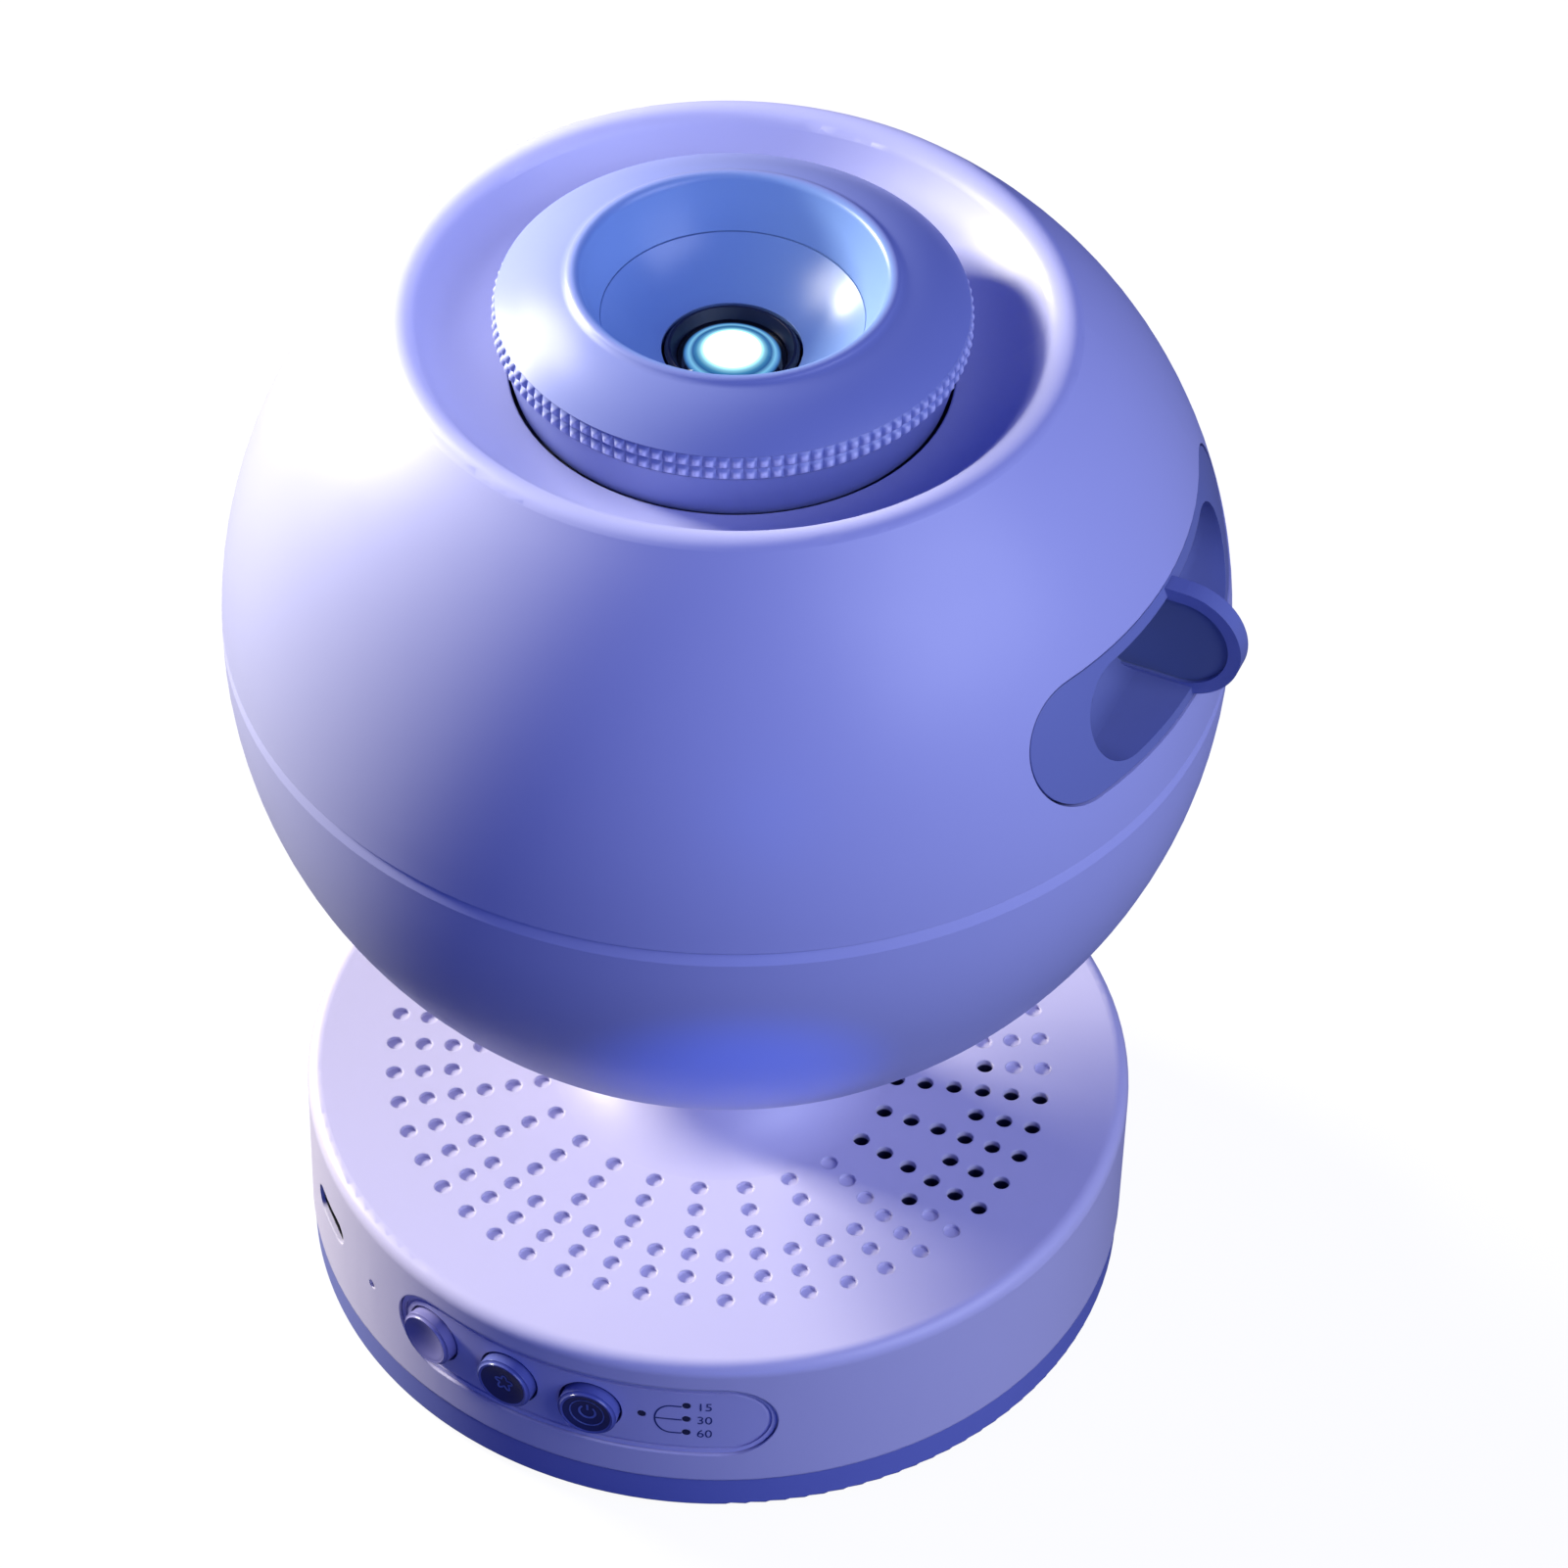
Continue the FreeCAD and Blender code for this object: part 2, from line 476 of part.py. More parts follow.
def draw_outline(sketch, corners):
    """Draw a closed outline through corners (x, y).

    A corner (x, y, radius, side) is reached by an arc whose centre lies to the left (side 1)
    or the right (side -1) of the way along the outline.
    """
    points = [FreeCAD.Vector(value(corner[0]), value(corner[1]), 0) for corner in corners]
    ends = []
    for index, corner in enumerate(corners):
        start, end = points[index - 1], points[index]
        if len(corner) == 2:
            geometry = sketch.addGeometry(Part.LineSegment(start, end))
            ends.append((geometry, 1, 2))
            continue
        radius, side = value(corner[2]), corner[3]
        chord = end - start
        left = FreeCAD.Vector(-chord.y, chord.x, 0).normalize()
        offset = math.sqrt(max(radius ** 2 - chord.Length ** 2 / 4, 0.0))
        centre = (start + end) * 0.5 + left * (side * offset)
        first, last = (start, end) if side > 0 else (end, start)
        angles = [math.atan2(point.y - centre.y, point.x - centre.x) for point in (first, last)]
        circle = Part.Circle(centre, FreeCAD.Vector(0, 0, 1), radius)
        geometry = sketch.addGeometry(Part.ArcOfCircle(circle, angles[0], angles[1]))
        ends.append((geometry, 1, 2) if side > 0 else (geometry, 2, 1))
        index = sketch.addConstraint(Sketcher.Constraint("Radius", geometry, radius))
        bind(sketch, f"Constraints[{index}]", corner[2])
    for index, corner in enumerate(corners):
        geometry, start_point, end_point = ends[index]
        following = ends[(index + 1) % len(ends)]
        joined = Sketcher.Constraint("Coincident", geometry, end_point, following[0], following[1])
        sketch.addConstraint(joined)
        constrain_point(sketch, geometry, end_point, corner[0], corner[1])


def draw_circle(sketch, x, y, radius):
    """Draw a circle."""
    centre = FreeCAD.Vector(value(x), value(y), 0)
    geometry = sketch.addGeometry(Part.Circle(centre, FreeCAD.Vector(0, 0, 1), value(radius)))
    index = sketch.addConstraint(Sketcher.Constraint("Radius", geometry, value(radius)))
    bind(sketch, f"Constraints[{index}]", radius)
    constrain_point(sketch, geometry, 3, x, y)


def stadium(half_width, half_height, middle):
    """Return the corners of a lying stadium round (0, middle)."""
    straight = f"({half_width}) - ({half_height})"
    low, high = f"{middle} - ({half_height})", f"{middle} + ({half_height})"
    return [
        (f"-({straight})", low),
        (straight, low),
        (f"{half_width}", middle, half_height, 1),
        (straight, high, half_height, 1),
        (f"-({straight})", high),
        (f"-({half_width})", middle, half_height, 1),
        (f"-({straight})", low, half_height, 1),
    ][1:]


def rectangle(x_low, y_low, x_high, y_high):
    """Return the corners of a rectangle."""
    return [(x_high, y_low), (x_high, y_high), (x_low, y_high), (x_low, y_low)]


def revolve(body, corners):
    """Turn an outline of (radius, height) corners about the body's z axis."""
    sketch = sketch_on(body, "XZ_Plane")
    draw_outline(sketch, corners)
    turned = body.newObject("PartDesign::Revolution", "Revolution")
    turned.Profile = sketch
    turned.ReferenceAxis = (sketch, ["V_Axis"])
    turned.Angle = 360
    sketch.Visibility = False
    return turned


def pad(body, sketch, length):
    """Pad a sketch along its normal."""
    feature = body.newObject("PartDesign::Pad", "Pad")
    feature.Profile = sketch
    bind(feature, "Length", length)
    return feature


def pocket(body, sketch, length):
    """Cut a sketch into the body against its normal."""
    feature = body.newObject("PartDesign::Pocket", "Pocket")
    feature.Profile = sketch
    bind(feature, "Length", length)
    return feature


def lathe(label, corners):
    """Make a turned piece."""
    body = new_body(label)
    revolve(body, corners)
    return body


def tube(label, bore, radius, foot, top):
    """Make a plain ring."""
    return lathe(label, rectangle(bore, foot, radius, top))


def disc(label, radius, foot, top):
    """Make a plain disc on the axis."""
    return lathe(label, rectangle("0", foot, radius, top))


def slab(label, corners, foot, height):
    """Make a flat piece from its outline seen from above."""
    body = new_body(label)
    sketch = sketch_on(body, "XY_Plane", foot)
    draw_outline(sketch, corners)
    pad(body, sketch, height)
    return body


def upright(label, corners, distance, length):
    """Make a piece from its outline seen from the front, padded forwards from a distance."""
    body = new_body(label)
    sketch = sketch_on(body, "XZ_Plane", distance)
    draw_outline(sketch, corners)
    pad(body, sketch, length)
    return body


def sideways(label, corners, start, length):
    """Make a piece from its outline (y, z) seen from the side, padded along +X from a start."""
    body = new_body(label)
    sketch = sketch_on(body, "YZ_Plane", start)
    draw_outline(sketch, corners)
    pad(body, sketch, length)
    return body


def rod(label, radius, foot, height, pitch="0", azimuth="0"):
    """Make an upright cylinder at a pitch radius and azimuth."""
    item = doc.addObject("Part::Cylinder", "Cylinder")
    item.Label = label
    bind(item, "Radius", radius)
    bind(item, "Height", height)
    bind(item, "Placement.Base.x", f"({pitch}) * sin({azimuth})")
    bind(item, "Placement.Base.y", f"-({pitch}) * cos({azimuth})")
    bind(item, "Placement.Base.z", foot)
    return item


def spoke(label, radius, start, length, level, x="0"):
    """Make a cylinder that lies along -Y, from a distance outwards."""
    item = doc.addObject("Part::Cylinder", "Cylinder")
    item.Label = label
    bind(item, "Radius", radius)
    bind(item, "Height", length)
    lying = FreeCAD.Rotation(FreeCAD.Vector(1, 0, 0), 90)
    item.Placement = FreeCAD.Placement(FreeCAD.Vector(0, 0, 0), lying)
    bind(item, "Placement.Base.x", x)
    bind(item, "Placement.Base.y", f"-({start})")
    bind(item, "Placement.Base.z", level)
    return item


def ball(label, radius):
    """Make a ball about the projector's centre."""
    item = doc.addObject("Part::Sphere", "Sphere")
    item.Label = label
    bind(item, "Radius", radius)
    bind(item, "Placement.Base.z", CENTRE)
    return item


def block(label, low, high):
    """Make a box between two corners, each three expressions."""
    item = doc.addObject("Part::Box", "Box")
    item.Label = label
    for axis, side, start, end in zip("xyz", ("Length", "Width", "Height"), low, high):
        bind(item, f"Placement.Base.{axis}", start)
        bind(item, side, f"({end}) - ({start})")
    return item


def gather(label, items):
    """Hold several solids as one compound."""
    item = doc.addObject("Part::Compound", "Compound")
    item.Label = label
    item.Links = items
    return item


def turned(item, azimuth):
    """Turn a piece that was drawn at the front to its azimuth."""
    carried = gather(item.Label + " turned", [item])
    carried.Placement = FreeCAD.Placement(FreeCAD.Vector(), FreeCAD.Rotation(FreeCAD.Vector(0, 0, 1), 1))
    bind(carried, "Placement.Rotation.Angle", azimuth)
    return carried


def moved(item, pitch, azimuth, height="0"):
    """Carry a piece from the axis to a pitch radius and azimuth, without turning it."""
    carried = gather(item.Label + " moved", [item])
    bind(carried, "Placement.Base.x", f"({pitch}) * sin({azimuth})")
    bind(carried, "Placement.Base.y", f"-({pitch}) * cos({azimuth})")
    bind(carried, "Placement.Base.z", height)
    return carried


def cut(label, base, tools):
    """Cut tools out of a piece."""
    item = doc.addObject("Part::Cut", "Cut")
    item.Label = label
    item.Base = base
    item.Tool = tools[0] if len(tools) == 1 else fuse(label + " tools", tools)
    return item


def fuse(label, pieces):
    """Join pieces into one solid."""
    item = doc.addObject("Part::MultiFuse", "Fusion")
    item.Label = label
    item.Shapes = pieces
    return item


def common(label, first, second):
    """Keep what two pieces share."""
    item = doc.addObject("Part::MultiCommon", "Common")
    item.Label = label
    item.Shapes = [first, second]
    return item


SUB_PARTS = {}


def sub_part(label, item, solids=1):
    """Name a finished sub-part and note how many solids it holds."""
    item.Label = label
    SUB_PARTS[label] = (item, solids)
    return item


def screws(label, places, seat, length, upward=False):
    """Make a group of pan-head screws.

    places are (pitch radius, azimuth) pairs, seat is the height of the face under the heads,
    and length the shank's length. The shanks point down, or up where upward is set.
    """
    way = "-" if upward else ""
    group = []
    for pitch, azimuth in places:
        corners = [
            ("screw_shank", f"{way}(0 - ({length}))"),
            ("screw_shank", "0"),
            ("screw_head", "0"),
            ("screw_head", f"{way}(screw_head_height * 0.6)"),
            ("screw_head * 0.7", f"{way}(screw_head_height)"),
            ("0", f"{way}(screw_head_height)"),
            ("0", f"{way}(0 - ({length}))"),
        ]
        screw = lathe(label + " blank", corners)
        half = "screw_head * 0.12"
        arm = "screw_head * 0.62"
        slot_depth = "screw_head_height * 0.5"
        low, high = f"screw_head_height - {slot_depth}", "screw_head_height + 1"
        if upward:
            low, high = "0 - screw_head_height - 1", f"{slot_depth} - screw_head_height"
        cross = [
            block(label + " slot", (f"-{arm}", f"-{half}", low), (arm, half, high)),
            block(label + " slot", (f"-{half}", f"-{arm}", low), (half, arm, high)),
        ]
        group.append(moved(cut(label + " driven", screw, cross), pitch, azimuth, seat))
    return sub_part(label, gather(label, group), len(group))


# ---------------------------------------------------------------- base

COVER_SCREW_AZIMUTHS = ("30", "150", "270")
SWIVEL_SCREW_AZIMUTHS = ("60", "180", "300")
FOOT_AZIMUTHS = ("45", "135", "225", "315")
LONG_ROWS = 6
SHORT_ROWS = 3
BUTTON_AZIMUTHS = {
    "power_button": "power_azimuth",
    "mode_button": "mode_azimuth",
    "timer_button": "timer_azimuth",
}


def open_holes():
    """List the holes that lie over the speaker's cone and go right through, as (radius, azimuth)."""
    centre_x = value("speaker_pitch * sin(speaker_azimuth)")
    centre_y = value("speaker_pitch * cos(speaker_azimuth)")
    columns = round(360 / value("column_angle"))
    reach = value("speaker_radius - basket_wall / 2")
    found = []
    for column in range(columns):
        azimuth = f"(first_column + {column} * column_angle)"
        for row in range(LONG_ROWS if column % 2 else SHORT_ROWS):
            radius = f"(outer_row - {row} * row_step)"
            x = value(f"{radius} * sin({azimuth})")
            y = value(f"{radius} * cos({azimuth})")
            if math.hypot(x - centre_x, y - centre_y) < reach:
                found.append((radius, azimuth))
    return found


def light_places():
    """List the pilot and timer lights as (azimuth, height)."""
    places = [("pilot_azimuth", "panel_rise + 0.4")]
    for step in (1, 0, -1):
        places.append(("timer_light_azimuth", f"panel_rise + 0.2 + {step} * timer_light_step"))
    return places


def housing_blank():
    """Drum, top and flared neck in one moulding, with the spigot, the posts and the wall's openings."""
    body = new_body("base housing body")
    flare_end = "(neck_radius + neck_draft)"
    revolve(body, [
        ("base_radius", BAND_TOP),
        ("base_radius", f"{BASE_TOP} - base_rounding"),
        ("base_radius - base_rounding", BASE_TOP, "base_rounding", 1),
        (f"{flare_end} + neck_flare", BASE_TOP),
        (flare_end, f"{BASE_TOP} + neck_flare", "neck_flare", -1),
        ("neck_radius", NECK_TOP),
        ("spigot_radius", NECK_TOP),
        ("spigot_radius", SPIGOT_TOP),
        ("spigot_bore", SPIGOT_TOP),
        ("spigot_bore", f"{NECK_TOP} - neck_cap"),
        ("neck_bore", f"{NECK_TOP} - neck_cap"),
        ("neck_bore", f"{TOP_UNDERSIDE} + base_wall"),
        ("neck_bore + base_wall", TOP_UNDERSIDE),
        (DRUM_BORE, TOP_UNDERSIDE),
        (DRUM_BORE, BAND_TOP),
    ])

    posts = sketch_on(body, "XY_Plane", BAND_TOP)
    for azimuth in COVER_SCREW_AZIMUTHS:
        draw_circle(posts, f"post_pitch * sin({azimuth})", f"-post_pitch * cos({azimuth})", "post_radius")
    pad(body, posts, f"{TOP_UNDERSIDE} - {BAND_TOP} + base_wall / 2")

    rib = sketch_on(body, "XY_Plane", f"{TOP_UNDERSIDE} - rib_height")
    speaker_x = "speaker_pitch * sin(speaker_azimuth)"
    speaker_y = "-speaker_pitch * cos(speaker_azimuth)"
    draw_circle(rib, speaker_x, speaker_y, "speaker_radius + slip + rib_wall")
    draw_circle(rib, speaker_x, speaker_y, "speaker_radius + slip")
    pad(body, rib, "rib_height + base_wall / 2")

    pilots = sketch_on(body, "XY_Plane", f"{BAND_TOP} + cover_screw_length")
    for azimuth in COVER_SCREW_AZIMUTHS:
        x, y = f"post_pitch * sin({azimuth})", f"-post_pitch * cos({azimuth})"
        draw_circle(pilots, x, y, "screw_shank + thread_clearance")
    pocket(body, pilots, "cover_screw_length + base_wall")

    reset = sketch_facing(body, "reset_azimuth", "base_radius + 1")
    draw_circle(reset, "0", "panel_rise - reset_drop", "reset_radius")
    pocket(body, reset, "base_wall + 2")
    socket = sketch_facing(body, "usb_azimuth", "base_radius + 1")
    opening = stadium("usb_half_width + slip", "usb_half_height + slip", "panel_rise")
    draw_outline(socket, opening)
    pocket(body, socket, "base_wall + 2")
    for azimuth in BUTTON_AZIMUTHS.values():
        hole = sketch_facing(body, azimuth, "base_radius + 1")
        draw_circle(hole, "0", "panel_rise", "button_radius + button_gap")
        pocket(body, hole, "base_wall + 2")
    for azimuth, height in light_places():
        hole = sketch_facing(body, azimuth, "base_radius + 1")
        draw_circle(hole, "0", height, "light_radius + light_gap")
        pocket(body, hole, "base_wall + 2")

    for azimuth in SWIVEL_SCREW_AZIMUTHS:
        bolt = sketch_on(body, "XY_Plane", SPIGOT_TOP)
        middle = "(spigot_radius + spigot_bore) / 2"
        radius = "screw_shank + thread_clearance"
        draw_circle(bolt, f"{middle} * sin({azimuth})", f"-{middle} * cos({azimuth})", radius)
        pocket(body, bolt, "pilot_depth")

    outline = stadium("panel_half_width", "panel_half_height", "panel_rise")
    front = upright("panel prism", outline, "base_radius / 2", "base_radius")
    ring = tube("panel ring", "base_radius - panel_depth", "base_radius + 5", FLOOR, BASE_TOP)
    recess = common("panel recess", turned(front, "panel_azimuth"), ring)
    return cut("base housing recessed", body, [recess])


def base_housing():
    """Housing with the rows of blind holes in its top, open over the speaker."""
    body = new_body("base_housing")
    body.BaseFeature = housing_blank()
    doc.recompute()
    for rows, first in ((SHORT_ROWS, "first_column"), (LONG_ROWS, "(first_column + column_angle)")):
        column = sketch_on(body, "XY_Plane", BASE_TOP)
        for row in range(rows):
            radius = f"(outer_row - {row} * row_step)"
            draw_circle(column, f"{radius} * sin({first})", f"-{radius} * cos({first})", "hole_radius")
        dimple = pocket(body, column, "hole_depth")
        doc.recompute()
        around = body.newObject("PartDesign::PolarPattern", "PolarPattern")
        around.Originals = [dimple]
        around.Axis = (column, ["N_Axis"])
        around.Angle = 360
        around.Occurrences = round(180 / value("column_angle"))
        body.Tip = around

    through = sketch_on(body, "XY_Plane", BASE_TOP)
    for radius, azimuth in open_holes():
        draw_circle(through, f"{radius} * sin({azimuth})", f"-{radius} * cos({azimuth})", "hole_radius")
    pocket(body, through, "base_wall + slip")
    sub_part("base_housing", body)


def control_panel():
    """Curved insert in the drum's wall, with holes for the buttons and lights."""
    body = new_body("panel ring")
    revolve(body, rectangle("base_radius - panel_depth", FLOOR,
                            "base_radius - panel_depth + panel_thickness", BASE_TOP))
    for azimuth in BUTTON_AZIMUTHS.values():
        hole = sketch_facing(body, azimuth, "base_radius + 1")
        draw_circle(hole, "0", "panel_rise", "button_radius + button_gap")
        pocket(body, hole, "base_wall + 2")
    for azimuth, height in light_places():
        hole = sketch_facing(body, azimuth, "base_radius + 1")
        draw_circle(hole, "0", height, "light_radius + light_gap")
        pocket(body, hole, "base_wall + 2")
    blank = common("panel blank", body, panel_prism("panel prism", "panel_gap"))

    face = "base_radius - panel_depth + panel_thickness"
    ring = new_body("panel groove ring")
    revolve(ring, rectangle(f"{face} - groove_depth", FLOOR, f"{face} + 1", BASE_TOP))
    outside = panel_prism("groove outside", "groove_inset")
    inside = panel_prism("groove inside", "groove_inset + groove_width")
    groove = common("panel groove", ring, cut("groove outline", outside, [inside]))
    sub_part("control_panel", cut("control_panel", blank, [groove]))


def panel_prism(label, inset):
    """Make a prism through the drum's wall in the panel's outline, so much smaller all round."""
    half_width, half_height = f"panel_half_width - ({inset})", f"panel_half_height - ({inset})"
    prism = upright(label, stadium(half_width, half_height, "panel_rise"), "base_radius / 2", "base_radius")
    return turned(prism, "panel_azimuth")


def buttons():
    """Three push buttons with dished faces and a flange behind the wall."""
    for label, azimuth in BUTTON_AZIMUTHS.items():
        shape = lathe(label + " blank", [
            ("button_radius + button_flange", BUTTON_BACK),
            ("button_radius + button_flange", BUTTON_SHOULDER),
            ("button_radius", BUTTON_SHOULDER),
            ("button_radius", f"{BUTTON_FACE} - button_edge"),
            ("button_radius - button_edge", BUTTON_FACE, "button_edge", 1),
            ("button_dish_radius", BUTTON_FACE),
            ("0", f"{BUTTON_FACE} - button_dish", "button_dish_radius ^ 2 / (2 * button_dish)", -1),
            ("0", BUTTON_BACK),
        ])
        lying = gather(label + " lying", [shape])
        lying.Placement = FreeCAD.Placement(FreeCAD.Vector(), FreeCAD.Rotation(FreeCAD.Vector(1, 0, 0), 90))
        bind(lying, "Placement.Base.z", "panel_rise")
        sub_part(label, turned(lying, azimuth))


def switches_and_lights():
    """Curved carrier behind the panel with three tact switches, four LEDs and their light pipes."""
    body = new_body("switch carrier ring")
    low, high = "panel_rise - switch_board_half_height", "panel_rise + switch_board_half_height"
    revolve(body, rectangle(f"{SWITCH_SEAT} - carrier_wall", low, SWITCH_SEAT, high))
    middle = "(carrier_start + carrier_end) / 2"
    half = f"{SWITCH_SEAT} * sin((carrier_end - carrier_start) / 2)"
    front = upright("carrier prism", rectangle(f"-{half}", FLOOR, half, BASE_TOP), "10", "60")
    arc = common("carrier arc", body, turned(front, middle))
    arms = []
    for azimuth in ("carrier_start + arm_inset", "carrier_end - arm_inset"):
        low = ("-arm_half_width", f"-({DRUM_BORE} - slip)", f"{high} - arm_height")
        arm = block("carrier arm", low, ("arm_half_width", f"-({SWITCH_SEAT} - carrier_wall / 2)", high))
        arms.append(turned(arm, azimuth))
    sub_part("switch_carrier", fuse("switch_carrier", [arc] + arms))

    switches = []
    seat = f"({SWITCH_SEAT} + slip)"
    case = f"({SWITCH_FACE} - switch_stem_length)"
    for azimuth in BUTTON_AZIMUTHS.values():
        low = ("-switch_half", f"-{case}", "panel_rise - switch_half")
        high = ("switch_half", f"-{seat}", "panel_rise + switch_half")
        stem_length = "switch_stem_length + slip"
        stem = spoke("stem", "switch_stem", f"{case} - slip", stem_length, "panel_rise")
        switches.append(turned(fuse("tact switch", [block("switch case", low, high), stem]), azimuth))
    sub_part("tact_switches", gather("tact_switches", switches), len(switches))

    leds = []
    pipes = []
    for azimuth, height in light_places():
        low = ("-led_half_width", f"-({seat} + led_depth)", f"{height} - led_half_height")
        high = ("led_half_width", f"-{seat}", f"{height} + led_half_height")
        leds.append(turned(block("LED", low, high), azimuth))
        start = f"({seat} + led_depth + 2 * slip)"
        length = f"base_radius - panel_depth + panel_thickness - ({start})"
        pipes.append(turned(spoke("pipe", "light_radius", start, length, height), azimuth))
    sub_part("indicator_leds", gather("indicator_leds", leds), len(leds))
    sub_part("light_pipes", gather("light_pipes", pipes), len(pipes))


def base_cover():
    """Underside with the lower band, its tongue, screw seats and posts for the main board."""
    body = new_body("base cover body")
    band_radius = "(base_radius - band_step)"
    foot_radius = f"({band_radius} - band_taper)"
    tongue = f"({DRUM_BORE} - slip)"
    revolve(body, [
        (f"{foot_radius} - band_rounding", FLOOR),
        (foot_radius, f"{FLOOR} + band_rounding", "band_rounding", 1),
        (band_radius, f"{BAND_TOP} - slip"),
        (tongue, f"{BAND_TOP} - slip"),
        (tongue, f"{BAND_TOP} + cover_tongue_height"),
        (f"{tongue} - cover_tongue_wall", f"{BAND_TOP} + cover_tongue_height"),
        (f"{tongue} - cover_tongue_wall", COVER_FLOOR_TOP),
        ("0", COVER_FLOOR_TOP),
        ("0", FLOOR),
    ])
    seats = sketch_on(body, "XY_Plane", COVER_FLOOR_TOP)
    for azimuth in COVER_SCREW_AZIMUTHS:
        x, y = f"post_pitch * sin({azimuth})", f"-post_pitch * cos({azimuth})"
        draw_circle(seats, x, y, "post_radius")
    pad(body, seats, f"{BAND_TOP} - {COVER_FLOOR_TOP} - slip / 2")
    posts = sketch_on(body, "XY_Plane", COVER_FLOOR_TOP)
    for azimuth in FOOT_AZIMUTHS:
        x, y = f"board_post_pitch * sin({azimuth})", f"-board_post_pitch * cos({azimuth})"
        draw_circle(posts, x, y, "board_post_radius")
    pad(body, posts, f"main_board_rise - {COVER_FLOOR_TOP}")

    holes = []
    for azimuth in COVER_SCREW_AZIMUTHS:
        shank = "screw_shank + thread_clearance"
        length = "band_height + cover_tongue_height + 2"
        holes.append(rod("shank hole", shank, f"{FLOOR} - 1", length, "post_pitch", azimuth))
        head = "screw_head + cover_screw_room"
        holes.append(rod("head hole", head, f"{FLOOR} - 1", "1 + cover_screw_sink", "post_pitch", azimuth))
    for azimuth in FOOT_AZIMUTHS:
        holes.append(rod("foot hole", "foot_radius + slip", f"{FLOOR} - 1", "1 + foot_recess", "foot_pitch",
                         azimuth))
        start = "main_board_rise - pilot_depth"
        shank = "screw_shank + thread_clearance"
        holes.append(rod("board hole", shank, start, "pilot_depth + 1", "board_post_pitch", azimuth))
    sub_part("base_cover", cut("base_cover", body, [gather("cover holes", holes)]))

    feet = []
    for azimuth in FOOT_AZIMUTHS:
        foot = lathe("foot", [
            ("foot_radius - foot_bevel", "0"),
            ("foot_radius", "foot_bevel"),
            ("foot_radius", "foot_proud + foot_recess"),
            ("0", "foot_proud + foot_recess"),
            ("0", "0"),
        ])
        feet.append(moved(foot, "foot_pitch", azimuth))
    sub_part("rubber_feet", gather("rubber_feet", feet), len(feet))
    places = [("post_pitch", azimuth) for azimuth in COVER_SCREW_AZIMUTHS]
    screws("cover_screws", places, f"{FLOOR} + cover_screw_sink", "cover_screw_length", upward=True)


# chips on the main board: name, left edge, front edge, width, depth and height
CHIPS = [
    ("processor", -14.0, 6.0, 10.0, 10.0, 1.2),
    ("amplifier", 6.0, 8.0, 7.0, 6.0, 1.4),
    ("charger", -24.0, -8.0, 6.0, 6.0, 1.0),
    ("inductor", -28.0, 6.0, 7.0, 7.0, 3.0),
    ("wireless module", -8.0, 20.0, 16.0, 11.0, 2.2),
]


